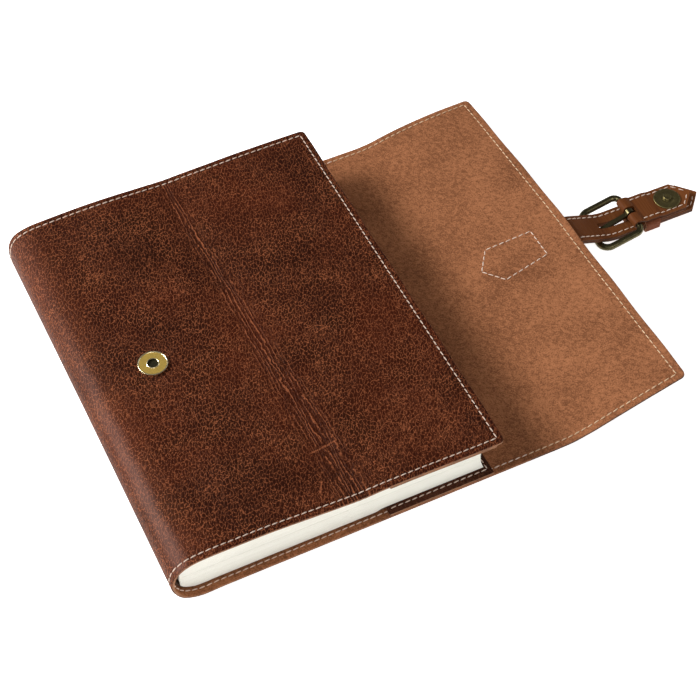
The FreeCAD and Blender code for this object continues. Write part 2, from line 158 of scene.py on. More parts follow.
class Paint:
    """The node graph of one material around a single Principled shader."""

    def __init__(self, name: str, constants: dict[str, float]) -> None:
        """Starts the graph.

        Args:
            name: The material's name.
            constants: Values of the shader's own sockets.
        """
        self.material = bpy.data.materials.new(name)
        self.material.use_nodes = True
        self.tree = self.material.node_tree
        self.tree.nodes.clear()
        self.shader = self.node("ShaderNodeBsdfPrincipled", {}, {})
        for key, value in constants.items():
            self.shader.inputs[key].default_value = value
        output = self.node("ShaderNodeOutputMaterial", {}, {})
        self.tree.links.new(self.shader.outputs[0], output.inputs[0])

    def node(self, kind: str, settings: dict, values: dict) -> bpy.types.Node:
        """Adds one node.

        Args:
            kind: The node's type.
            settings: Its properties, set before its sockets.
            values: Numbers, colours or sockets for its inputs, by name or place.

        Returns:
            The new node.
        """
        made = self.tree.nodes.new(kind)
        for key, value in settings.items():
            setattr(made, key, value)
        for key, value in values.items():
            if isinstance(value, Socket):
                self.tree.links.new(value.out, made.inputs[key])
            else:
                made.inputs[key].default_value = value
        return made

    def maths(self, operation: str, *values: Term) -> Socket:
        """One Math node on the given values."""
        made = self.node("ShaderNodeMath", {"operation": operation}, dict(enumerate(values)))
        return Socket(self, made.outputs[0])

    def mix(self, share: Term, first: "Socket | Colour", second: "Socket | Colour") -> Socket:
        """A colour between two colours.

        Args:
            share: 0 for the first colour and 1 for the second.
            first: The first colour.
            second: The second colour.

        Returns:
            The colour between them.
        """
        ends = [c if isinstance(c, Socket) else (*c, 1.0) for c in (first, second)]
        made = self.node("ShaderNodeMix", {"data_type": "RGBA"}, {0: share, 6: ends[0], 7: ends[1]})
        return Socket(self, made.outputs[2])

    def place(self, surface: bool) -> Socket:
        """Where a point is, in millimetres: along the hide, or in the object's own frame.

        Args:
            surface: Whether the place follows the hide.

        Returns:
            The place.
        """
        if surface:
            source = Socket(self, self.node("ShaderNodeUVMap", {"uv_map": "hide"}, {}).outputs[0])
        else:
            source = Socket(self, self.node("ShaderNodeTexCoord", {}, {}).outputs["Object"])
        return self.scaled(source, (1000.0, 1000.0, 1000.0))

    def scaled(self, vector: Socket, factors: Sequence[float]) -> Socket:
        """A vector with each of its parts multiplied."""
        made = self.node("ShaderNodeVectorMath", {"operation": "MULTIPLY"}, {0: vector, 1: factors})
        return Socket(self, made.outputs[0])

    def turned(self, vector: Socket, degrees: float, factors: Sequence[float]) -> Socket:
        """A vector turned about z and then stretched.

        Args:
            vector: The vector.
            degrees: The turn.
            factors: The stretch along x, y and z.

        Returns:
            The turned vector.
        """
        turn = self.node(
            "ShaderNodeVectorRotate",
            {"rotation_type": "Z_AXIS"},
            {"Vector": vector, "Angle": math.radians(degrees)},
        )
        return self.scaled(Socket(self, turn.outputs[0]), factors)

    def pushed(self, vector: Socket, amount: float, size: float) -> Socket:
        """A vector moved about at random by up to half the amount.

        Args:
            vector: The vector.
            amount: The widest spread of the pushes.
            size: How wide one push reaches.

        Returns:
            The pushed vector.
        """
        noise = self.node("ShaderNodeTexNoise", {}, {"Vector": vector, "Scale": 1.0 / size})
        centred = self.node(
            "ShaderNodeVectorMath",
            {"operation": "MULTIPLY_ADD"},
            {0: Socket(self, noise.outputs["Color"]), 1: (amount,) * 3, 2: vector},
        )
        return Socket(self, centred.outputs[0])

    def split(self, vector: Socket) -> tuple[Socket, Socket, Socket]:
        """The three parts of a vector."""
        made = self.node("ShaderNodeSeparateXYZ", {}, {0: vector})
        return tuple(Socket(self, out) for out in made.outputs)

    def noise(self, vector: Socket, size: float, detail: float = 2.0, twist: float = 0.0) -> Socket:
        """Soft noise, 0 to 1, whose blotches are about size across."""
        values = {"Vector": vector, "Scale": 1.0 / size, "Detail": detail, "Distortion": twist}
        return Socket(self, self.node("ShaderNodeTexNoise", {}, values).outputs[0])

    def ridges(self, vector: Socket, size: float, detail: float = 1.0) -> Socket:
        """Thin wandering lines, 1 on a line and 0 away from it."""
        return 1.0 - abs(self.noise(vector, size, detail) - 0.5).rise(0.0, 0.07)

    def cells(self, vector: Socket, size: float) -> Socket:
        """Distance to the border of pebbled cells, 0 on a border.

        Args:
            vector: Where the cells are drawn.
            size: How wide a cell is.

        Returns:
            The distance.
        """
        made = self.node(
            "ShaderNodeTexVoronoi",
            {"feature": "DISTANCE_TO_EDGE"},
            {"Vector": vector, "Scale": 1.0 / size},
        )
        return Socket(self, made.outputs["Distance"])

    def finish(self, colour: Socket, rough: Term, height: Socket, depth: float) -> bpy.types.Material:
        """Connects what varies to the shader.

        Args:
            colour: Base colour.
            rough: Roughness.
            height: Relief, about 0 to 1.
            depth: Height of a relief of 1, in millimetres.

        Returns:
            The finished material.
        """
        bump = self.node("ShaderNodeBump", {}, {"Height": height, "Distance": depth / 1000.0})
        self.tree.links.new(colour.out, self.shader.inputs["Base Color"])
        self.tree.links.new(rough.out, self.shader.inputs["Roughness"])
        self.tree.links.new(bump.outputs[0], self.shader.inputs["Normal"])
        return self.material


# ---------------------------------------------------------------- finishes


SCRATCHES = (
    ((86.5, -77.0), 8.0, 15.0), ((76.7, -96.6), 62.0, 9.0), ((124.5, -83.0), 65.0, 5.0),
    ((126.5, -84.5), 40.0, 3.0), ((31.0, -76.0), 20.0, 5.0), ((29.0, 47.0), 60.0, 1.2),
)


@dataclass(frozen=True)
class GrainLeather:
    """Waxed, oiled leather: dark and mottled, paler where it has been bent."""

    name: str = "grain_leather"
    deep: Colour = (0.0235, 0.0048, 0.0014)
    red: Colour = (0.050, 0.0084, 0.0020)
    olive: Colour = (0.035, 0.0096, 0.0025)
    pit: Colour = (0.010, 0.0024, 0.0011)
    bent: Colour = (0.340, 0.104, 0.043)
    # Pale greyish colour of the painted sheen along the spine's top corner.
    rubbed_and_sheen: Colour = (0.250, 0.135, 0.110)
    gloss: float = 0.07
    streak: float = 0.16
    veined: float = 1.0
    has_crease: bool = False

    def scratch(self, paint: Paint, hide: Socket, centre: tuple[float, float], degrees: float,
                length: float) -> Socket:
        """A short, pale scratch.

        Args:
            paint: The graph.
            hide: Places along and across the hide, in millimetres.
            centre: The scratch's middle.
            degrees: Its direction, turned from along the hide.
            length: Its length in millimetres.

        Returns:
            1 on the scratch and 0 away from it.
        """
        turn = math.radians(degrees)
        along, across, _ = paint.split(hide)
        ahead = (along - centre[0]) * math.cos(turn) + (across - centre[1]) * math.sin(turn)
        aside = (across - centre[1]) * math.cos(turn) - (along - centre[0]) * math.sin(turn)
        wobble = (paint.noise(hide, 2.2, 3.0) - 0.5) * 1.4
        return abs(ahead).rise(length * 0.52, length * 0.30) * abs(aside + wobble).rise(0.62, 0.12)

    def _wear(self, paint: Paint, hide: Socket, loose: Socket, clouds: Socket, fine: Socket,
              lift: Socket, relief: Socket) -> tuple[Socket, Socket]:
        """Adds the used cover's crease, scratches, folded corner and bent spine.

        Args:
            paint: The graph.
            hide: Places along and across the hide, in millimetres.
            loose: The same places, pushed about a little.
            clouds: Wide noise.
            fine: Fine noise.
            lift: How pale the leather is so far.
            relief: Its relief so far.

        Returns:
            The new paleness and relief.
        """
        along, across, _ = paint.split(hide)
        offset = along + across * CREASE_SLANT - CREASE_AT + (paint.noise(hide, 30.0) - 0.5) * 5.0
        band = (abs(offset) / (9.5 - across * 0.045)).rise(1.0, 0.10)
        wander = paint.noise(paint.scaled(loose, (0.26, 0.040, 1.0)), 1.0, 2.0)
        waves = paint.maths("SINE", along * 3.5 + wander * 17.0)
        broken = paint.noise(paint.scaled(loose, (0.55, 0.075, 1.0)), 1.0, 1.0).rise(0.36, 0.56)
        lift = lift * (1.0 - band * 0.6) + band * waves.rise(0.55, 0.98) * broken * (0.42 + fine * 0.75)
        for centre, degrees, length in SCRATCHES:
            lift = lift + self.scratch(paint, hide, centre, degrees, length) * 0.55
        corner = across.rise(-58.0, -78.0) * across.rise(-108.0, -92.0)
        corner = corner * along.rise(100.0, 125.0) * along.rise(160.0, 140.0)
        folds = paint.ridges(paint.turned(loose, 48.0, (0.75, 0.10, 1.0)), 1.0)
        round_spine = along.rise(24.0, 8.0) * along.rise(-30.0, -8.0)
        lift = lift + corner * folds * 0.22 + round_spine * (0.02 + clouds * 0.12)
        return lift, relief + band * waves * 0.35

    def material(self) -> bpy.types.Material:
        """The leather's material, drawn along the hide.

        Returns:
            The material.
        """
        paint = Paint(self.name, {"Specular IOR Level": self.gloss})
        hide = paint.place(surface=True)
        along, across, _ = paint.split(hide)
        loose = paint.pushed(hide, 1.7, 3.3)
        patches = paint.noise(hide, 52.0, 3.0, 0.4)
        clouds = paint.noise(hide, 19.0, 3.0, 0.3)
        fine = paint.noise(hide, 0.75, 2.0)
        pebbles = paint.cells(paint.turned(loose, 22.0, (1.0, 0.50, 1.0)), 1.35)
        veins = pebbles.rise(0.12, 0.02) * fine.rise(0.38, 0.60)
        lines = paint.ridges(paint.turned(loose, 14.0, (1.0, 0.34, 1.0)), 1.5)
        streaks = lines * paint.noise(hide, 27.0, 2.0).rise(0.40, 0.62)
        lift = veins * (0.56 + clouds.rise(0.36, 0.66) * 0.30) * self.veined + streaks * self.streak
        pits = pebbles.rise(0.16, 0.34) * fine.rise(0.62, 0.44) * self.veined
        relief = pebbles.rise(0.0, 0.30) * 0.35 + fine * 0.40 - streaks * 0.25
        base = paint.mix(patches.rise(0.30, 0.70), self.deep, self.red)
        base = paint.mix(clouds.rise(0.42, 0.78) * 0.6, base, self.olive)
        base = paint.mix(pits * 0.30, base, self.pit)
        if self.has_crease:
            lift, relief = self._wear(paint, hide, loose, clouds, fine, lift, relief)
            seam = abs(along - (FRONT_EDGE - STITCH_INSET)).rise(1.4, 0.3)
            ends = abs(abs(across) - (HALF_HEIGHT - STITCH_INSET)).rise(1.4, 0.3)
            base = paint.mix((seam + ends) * 0.6, base, self.deep)
        colour = paint.mix(lift, base, self.bent)
        if self.has_crease:
            # Painted sheen: a pale greyish band along the spine's top corner stands in for the window
            # light's reflection there.
            rubbed_and_sheen = abs(along - 4.5 + (clouds - 0.5) * 5.0).rise(6.0, 0.5) * across.rise(70.0, -70.0)
            colour = paint.mix(rubbed_and_sheen * 0.30, colour, self.rubbed_and_sheen)
        rough = 0.42 + fine * 0.16 + clouds * 0.08
        return paint.finish(colour, rough, relief, 0.26 * (0.35 + 0.65 * self.veined))


@dataclass(frozen=True)
class FleshLeather:
    """The brushed, suede side of the hide."""

    name: str = "flesh_leather"
    pale: Colour = (0.420, 0.168, 0.074)
    dark: Colour = (0.165, 0.060, 0.025)

    def material(self) -> bpy.types.Material:
        """The suede's material, drawn along the hide.

        Returns:
            The material.
        """
        paint = Paint(self.name, {"Specular IOR Level": 0.10})
        hide = paint.place(surface=True)
        clouds = paint.noise(hide, 30.0, 4.0, 0.4)
        nap = paint.noise(paint.turned(hide, 35.0, (1.0, 0.6, 1.0)), 1.6, 3.0, 0.5)
        fuzz = paint.noise(hide, 0.70, 2.0)
        share = clouds * 0.30 + nap * 0.40 + fuzz * 0.50
        colour = paint.mix(share.rise(0.44, 0.76), self.dark, self.pale)
        return paint.finish(colour, 0.80 + fuzz * 0.15, nap * 0.5 + fuzz * 0.5, 0.24)


@dataclass(frozen=True)
class CutEdge:
    """The bare, cut edge of leather: layered fibres, worn darker here and there."""

    name: str = "cut_edge"
    fibre: Colour = (0.330, 0.150, 0.068)
    # The darker colour of worn spots on the edge.
    rubbed_and_sheen: Colour = (0.130, 0.052, 0.024)

    def material(self) -> bpy.types.Material:
        """The edge's material, in the object's own frame.

        Returns:
            The material.
        """
        paint = Paint(self.name, {"Specular IOR Level": 0.25})
        spot = paint.place(surface=False)
        layers = paint.noise(paint.scaled(spot, (0.25, 0.25, 2.4)), 1.0, 3.0)
        rubs = paint.noise(spot, 9.0, 2.0)
        colour = paint.mix((layers * 0.6 + rubs * 0.5).rise(0.35, 0.80), self.fibre, self.rubbed_and_sheen)
        return paint.finish(colour, 0.62 + layers * 0.2, layers, 0.12)


@dataclass(frozen=True)
class Thread:
    """Waxed cream sewing thread with its twist."""

    name: str = "thread"
    light: Colour = (0.900, 0.720, 0.600)
    shade: Colour = (0.620, 0.430, 0.310)

    def material(self) -> bpy.types.Material:
        """The thread's material, in the object's own frame.

        Returns:
            The material.
        """
        paint = Paint(self.name, {"Specular IOR Level": 0.3})
        spot = paint.place(surface=False)
        across, along, _ = paint.split(paint.turned(spot, 45.0, (1.0, 1.0, 1.0)))
        twist = paint.maths("SINE", (along + across) * 9.0) * 0.5 + 0.5
        wear = paint.noise(spot, 4.0, 2.0)
        colour = paint.mix((twist * 0.35 + wear * 0.5).rise(0.2, 0.8), self.light, self.shade)
        return paint.finish(colour, 0.66 + wear * 0.1, twist, 0.08)


@dataclass(frozen=True)
class Paper:
    """The cut edges of several hundred ivory pages, with painted shade in the gaps between leaves and
    signatures.
    """

    name: str = "pages"
    leaf: Colour = (0.880, 0.860, 0.770)
    # The darker colour of the gaps between leaves, painted shade.
    gap: Colour = (0.700, 0.640, 0.520)

    def material(self) -> bpy.types.Material:
        """The page block's material, in the object's own frame.

        Returns:
            The material.
        """
        paint = Paint(self.name, {"Specular IOR Level": 0.2})
        spot = paint.place(surface=False)
        _, _, high = paint.split(spot)
        wander = paint.noise(paint.scaled(spot, (0.02, 0.02, 0.6)), 1.0, 2.0)
        sheets = paint.noise(paint.scaled(spot, (0.012, 0.012, 5.5)), 1.0, 2.0)
        fold = paint.maths("SINE", (high + wander * 0.8) * 2.1) * 0.5 + 0.5
        grime = paint.noise(spot, 24.0, 3.0)
        # Sheet lines and signature bands are painted shade in the gaps between leaves; the wide blotches are
        # the paper's own grime.
        share = sheets.rise(0.45, 0.80) * 0.22 + fold.rise(0.88, 1.0) * 0.08 + grime.rise(0.5, 0.8) * 0.15
        colour = paint.mix(share, self.leaf, self.gap)
        return paint.finish(colour, 0.80 + sheets * 0.15, sheets, 0.15)


@dataclass(frozen=True)
class Card:
    """The notebook's own thin card cover, near-black: partly the card's own colour and partly painted shade
    for the dark gap line under the pages.
    """

    name: str = "notebook_card"
    # Near-black card colour, partly painted shade for the gap line under the pages.
    face: Colour = (0.060, 0.030, 0.018)
    fleck: Colour = (0.100, 0.055, 0.034)

    def material(self) -> bpy.types.Material:
        """The card's material, in the object's own frame.

        Returns:
            The material.
        """
        paint = Paint(self.name, {"Specular IOR Level": 0.3})
        spot = paint.place(surface=False)
        fibres = paint.noise(paint.turned(spot, 20.0, (1.0, 0.3, 1.0)), 1.2, 3.0)
        return paint.finish(
            paint.mix(fibres.rise(0.4, 0.7), self.face, self.fleck), 0.65 + fibres * 0.2, fibres, 0.06
        )


@dataclass(frozen=True)
class AgedMetal:
    """Plated metal, worn bright in some spots and dull in others."""

    name: str
    bright: Colour
    dull: Colour
    rough: float = 0.34
    tarnish: float = 0.5

    def material(self) -> bpy.types.Material:
        """The metal's material, in the object's own frame.

        Returns:
            The material.
        """
        paint = Paint(self.name, {"Metallic": 1.0})
        spot = paint.place(surface=False)
        spots = paint.noise(spot, 2.4, 4.0, 0.4)
        grain = paint.noise(spot, 0.35, 3.0)
        share = (spots * 0.7 + grain * 0.5).rise(0.75 - self.tarnish * 0.45, 0.95)
        colour = paint.mix(share, self.bright, self.dull)
        return paint.finish(colour, self.rough + share * 0.22, grain + spots, 0.05)


class Finish(Enum):
    """Every finish that the object has."""

    COVER_GRAIN = GrainLeather(has_crease=True)
    STRAP_GRAIN = GrainLeather(
        name="strap_leather", deep=(0.110, 0.033, 0.0095), red=(0.200, 0.062, 0.017),
        olive=(0.140, 0.049, 0.014), bent=(0.36, 0.15, 0.06), streak=0.0, veined=0.15
    )
    SLEEVE_GRAIN = GrainLeather(
        name="sleeve_leather", deep=(0.030, 0.010, 0.0055), red=(0.062, 0.018, 0.009),
        bent=(0.13, 0.05, 0.024)
    )
    KEEPER_GRAIN = GrainLeather(
        name="keeper_leather", deep=(0.130, 0.038, 0.016), red=(0.210, 0.062, 0.028),
        bent=(0.40, 0.18, 0.10), streak=0.0, veined=0.15
    )
    FLESH = FleshLeather()
    CUT = CutEdge()
    BURNISHED = CutEdge("burnished_edge", (0.100, 0.040, 0.018), (0.030, 0.012, 0.007))
    THREAD = Thread()
    TAN_THREAD = Thread("tan_thread", (0.840, 0.600, 0.390), (0.560, 0.350, 0.190))
    PAGES = Paper()
    CARD = Card()
    SOCKET_BRASS = AgedMetal("socket_brass", (0.90, 0.62, 0.15), (0.45, 0.30, 0.07), 0.46, 0.6)
    RUBBED_BRASS = AgedMetal("rubbed_brass", (0.90, 0.76, 0.46), (0.60, 0.46, 0.22), 0.26, 0.2)
    # Painted shade: the near-black metal on the floor of the socket's hole stands in for the shade inside
    # the hole.
    SOCKET_HOLE_SHADE = AgedMetal("socket_well", (0.060, 0.055, 0.030), (0.020, 0.018, 0.012), 0.50, 0.6)
    STUD_BRASS = AgedMetal("stud_brass", (0.185, 0.150, 0.060), (0.075, 0.058, 0.026), 0.42, 0.7)
    BUCKLE_BRASS = AgedMetal("buckle_brass", (0.135, 0.115, 0.055), (0.035, 0.030, 0.016), 0.26, 0.7)
    STEEL = AgedMetal("magnet_steel", (0.52, 0.52, 0.53), (0.30, 0.30, 0.31), 0.30, 0.3)


MATERIALS: dict[Finish, bpy.types.Material] = {}


def material_of(finish: Finish) -> bpy.types.Material:
    """The one material of a finish, made the first time that it is asked for.

    Args:
        finish: The finish.

    Returns:
        Its material.
    """
    if finish not in MATERIALS:
        MATERIALS[finish] = finish.value.material()
    return MATERIALS[finish]


# ---------------------------------------------------------------- shaping tools


def stations(low: float, high: float, step: float, cut_low: bool, cut_high: bool) -> Array:
    """Places across a piece, close together at a cut edge and at the groove of its seam.

    Args:
        low: First place.
        high: Last place.
        step: Distance between places away from the edges.
        cut_low: Whether the piece is cut at its first place.
        cut_high: Whether it is cut at its last place.

    Returns:
        The places, in order.
    """
    edge = np.array([0.0, 0.10, 0.30, 0.65, 1.2, 1.9, 2.45, 3.0, 3.55, 4.2])
    head = low + edge if cut_low else np.array([low])
    tail = high - edge[::-1] if cut_high else np.array([high])
    count = max(2, int(round((tail[0] - head[-1]) / step)) + 1)
    middle = np.linspace(head[-1], tail[0], count)[1:-1]
    return np.concatenate([head, middle, tail])


def rename(piece: bpy.types.Object, name: str) -> None:
    """Names a piece and its mesh."""
    piece.name = name
    piece.data.name = name


def select_only(piece: bpy.types.Object) -> None:
    """Selects one piece and makes it the active one.

    Args:
        piece: The piece.
    """
    bpy.ops.object.select_all(action="DESELECT")
    bpy.context.view_layer.objects.active = piece
    piece.select_set(True)


def reach_along(points: Array) -> Array:
    """How far along a chain of points each of them lies."""
    steps = np.linalg.norm(np.diff(points, axis=0), axis=1)
    return np.concatenate([[0.0], np.cumsum(steps)])


def walk(values: Array, reach: Array, place: float) -> Array:
    """The row of values at a place between the reaches that the rows belong to."""
    return np.array([np.interp(place, reach, column) for column in values.T])


def between(start: tuple[float, float], end: tuple[float, float], gap: float,
            least: int) -> tuple[Array, Array]:
    """Even places from one place to another.

    Args:
        start: First place along and across.
        end: Last place along and across.
        gap: About how far apart they are.
        least: The smallest number of places.

    Returns:
        The places along, and the places across.
    """
    count = max(least, int(math.dist(start, end) / gap))
    return np.linspace(start[0], end[0], count), np.linspace(start[1], end[1], count)


def cut_block(name: str, cells: tuple[int, int, int]) -> bpy.types.Object:
    """A cube cut into even cells.

    Args:
        name: The piece's name.
        cells: Number of cells along x, y and z.

    Returns:
        The cube, of size 1 about the origin.
    """
    bpy.ops.object.select_all(action="DESELECT")
    bpy.ops.mesh.primitive_cube_add(size=1.0)
    piece = bpy.context.object
    rename(piece, name)
    bpy.context.tool_settings.mesh_select_mode = (False, True, False)
    for axis, count in enumerate(cells):
        if count < 2:
            continue
        mesh = piece.data
        points = vertex_array(piece)
        ends = np.array([edge.vertices[:] for edge in mesh.edges])
        lies_along = np.abs(points[ends[:, 0], axis] - points[ends[:, 1], axis]) > 1e-5
        mesh.polygons.foreach_set("select", np.zeros(len(mesh.polygons), bool))
        mesh.vertices.foreach_set("select", np.zeros(len(mesh.vertices), bool))
        mesh.edges.foreach_set("select", lies_along)
        bpy.ops.object.mode_set(mode="EDIT")
        bpy.ops.mesh.subdivide(number_cuts=count - 1)
        bpy.ops.object.mode_set(mode="OBJECT")
    return piece


def vertex_array(piece: bpy.types.Object) -> Array:
    """The piece's vertices as an array of points.

    Args:
        piece: The piece.

    Returns:
        One row of x, y and z for each vertex.
    """
    points = np.empty(len(piece.data.vertices) * 3)
    piece.data.vertices.foreach_get("co", points)
    return points.reshape(-1, 3)


def move_vertices(piece: bpy.types.Object, points: Array) -> None:
    """Puts the piece's vertices at points of the maker's frame.

    Args:
        piece: The piece.
        points: A point for each of its vertices, in millimetres.
    """
    metres = (points + np.array([SPINE_X, 0.0, 0.0])) / 1000.0
    piece.data.vertices.foreach_set("co", metres.ravel())
    piece.data.update()


def smooth(piece: bpy.types.Object, degrees: float = 35.0) -> None:
    """Shades a piece smooth but for edges sharper than an angle.

    Args:
        piece: The piece.
        degrees: The sharpest angle that is still smooth.
    """
    select_only(piece)
    bpy.ops.object.shade_smooth_by_angle(angle=math.radians(degrees))
    piece.select_set(False)


def apply_modifier(piece: bpy.types.Object, kind: str, **settings: object) -> None:
    """Adds a modifier to a piece and applies it.

    Args:
        piece: The piece.
        kind: The modifier's type.
        settings: Its properties.
    """
    select_only(piece)
    modifier = piece.modifiers.new(kind.lower(), kind)
    for key, value in settings.items():
        setattr(modifier, key, value)
    bpy.ops.object.modifier_apply(modifier=modifier.name)
    piece.select_set(False)


Placing = Callable[[Array, Array, Array], Array]


def sheet_of(
    name: str,
    along: Array,
    across: Array,
    place: Placing,
    finishes: tuple[Finish, Finish, Finish],
    layers: int = 1,
) -> bpy.types.Object:
    """A closed sheet laid through space by a placing function.

    Args:
        name: The piece's name.
        along: Places along the sheet.
        across: Places across it.
        place: Gives points from along, across and a share of 0 (under) to 1 (outer face).
        finishes: The outer face's finish, the under face's and the cut edge's.
        layers: Number of cells through the thickness.

    Returns:
        The sheet, with its own UV map in metres along and across.
    """
    cells = (len(along) - 1, len(across) - 1, layers)
    piece = cut_block(name, cells)
    index = np.rint((vertex_array(piece) + 0.5) * np.array(cells)).astype(int)
    share = index[:, 2] / layers
    u = along[index[:, 0]]
    v = across[index[:, 1]]
    mesh = piece.data
    for finish in finishes:
        mesh.materials.append(material_of(finish))
    corner = np.empty(len(mesh.loops), int)
    mesh.loops.foreach_get("vertex_index", corner)
    faces = np.array([share[list(face.vertices)].mean() for face in mesh.polygons])
    slots = np.where(faces > 0.999, 0, np.where(faces < 0.001, 1, 2))
    mesh.polygons.foreach_set("material_index", slots)
    uv_map = mesh.uv_layers[0] if mesh.uv_layers else mesh.uv_layers.new()
    uv_map.name = "hide"
    flat = np.stack([u[corner] / 1000.0, v[corner] / 1000.0], axis=1)
    uv_map.data.foreach_set("uv", flat.ravel())
    move_vertices(piece, place(u, v, share))
    smooth(piece)
    return piece


def rim_drop(distance: Array, radius: float) -> Array:
    """How far a rounded rim has dropped at a distance in from the edge."""
    inside = np.clip(radius - distance, 0.0, radius)
    return radius - np.sqrt(np.maximum(radius * radius - inside * inside, 0.0))


def groove(distance: Array, inset: float = STITCH_INSET, depth: float = 0.22) -> Array:
    """The shallow groove that a seam pulls into the leather."""
    return depth * np.exp(-(((distance - inset) / 0.7) ** 2))


@dataclass(frozen=True)
class Bend:
    """Where a piece turns from one body to the next."""

    first: str
    second: str
    start: tuple[float, float]
    end: tuple[float, float]

    def join(self, piece: bpy.types.Object) -> None:
        """Bakes the piece's placement into its mesh; the fold's start and end are worked out but not used.
        """
        row(self.start[0], 0, self.start[1])
        row(self.end[0], 0, self.end[1])
        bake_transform(piece)


# ---------------------------------------------------------------- the hide


@dataclass(frozen=True)
class Knot:
    """The grain face at one place along the hide, as x and z at its near end, middle and far end."""

    along: float
    near: tuple[float, float]
    middle: tuple[float, float]
    far: tuple[float, float]


HIDE_KNOTS = (
    Knot(-278.28, (260.2, 18.2), (261.37, 13.26), (260.1, 7.7)),
    Knot(-253.98, (237.2, 11.0), (237.5, 8.62), (237.6, 6.9)),
    Knot(-235.98, (219.8, 5.6), (219.8, 5.19), (219.8, 4.6)),
    Knot(-224.98, (209.1, 2.3), (209.05, 3.09), (209.0, 2.6)),
    Knot(-216.98, (201.3, 0.5), (201.2, 1.56), (201.2, 0.9)),
    Knot(-208.98, (193.3, 0.05), (193.3, 0.3), (193.3, 0.05)),
    Knot(-201.0, (185.4, 0.0), (185.4, 0.0), (185.4, 0.0)),
    Knot(-178.64, (163.0, 0.0), (163.0, 0.0), (163.0, 0.0)),
    Knot(-140.0, (124.4, 0.0), (124.4, 0.0), (124.4, 0.0)),
    Knot(-100.0, (84.4, 0.0), (84.4, 0.0), (84.4, 0.0)),
    Knot(-60.0, (44.4, 0.0), (44.4, 0.0), (44.4, 0.0)),
    Knot(-40.0, (23.6, 0.0), (24.4, 0.0), (23.9, 0.0)),
    Knot(-29.34, (11.6, 0.0), (13.7, 0.0), (12.4, 0.0)),
    Knot(-22.17, (4.6, 3.0), (6.85, 1.84), (5.6, 1.5)),
    Knot(-14.99, (0.6, 9.0), (1.84, 6.85), (1.2, 6.1)),
    Knot(-7.82, (-0.7, 16.0), (0.0, 13.7), (0.3, 12.5)),
    Knot(-0.65, (1.6, 22.9), (1.84, 20.55), (1.3, 19.4)),
    Knot(6.53, (6.7, 26.9), (6.85, 25.56), (5.0, 24.3)),
    Knot(13.70, (13.6, 28.5), (13.7, 27.2), (12.3, 26.9)),
    Knot(20.0, (20.0, 28.8), (20.0, 27.5), (19.2, 27.5)),
    Knot(30.0, (30.0, 28.8), (30.0, 27.45), (29.8, 28.0)),
    Knot(43.0, (43.0, 28.7), (43.0, 27.4), (43.0, 28.4)),
    Knot(56.0, (56.0, 27.9), (56.0, 27.2), (56.0, 28.3)),
    Knot(70.0, (70.0, 27.0), (70.0, 26.9), (70.0, 27.6)),
    Knot(85.0, (85.0, 26.2), (85.0, 26.6), (85.0, 27.2)),
    Knot(105.0, (105.0, 26.1), (105.0, 26.9), (105.0, 28.1)),
    Knot(120.0, (120.0, 26.0), (120.0, 27.1), (120.0, 28.8)),
    Knot(140.0, (140.0, 25.6), (140.0, 27.2), (140.0, 28.9)),
    Knot(163.0, (163.0, 25.2), (163.0, 27.2), (163.0, 28.9)),
)


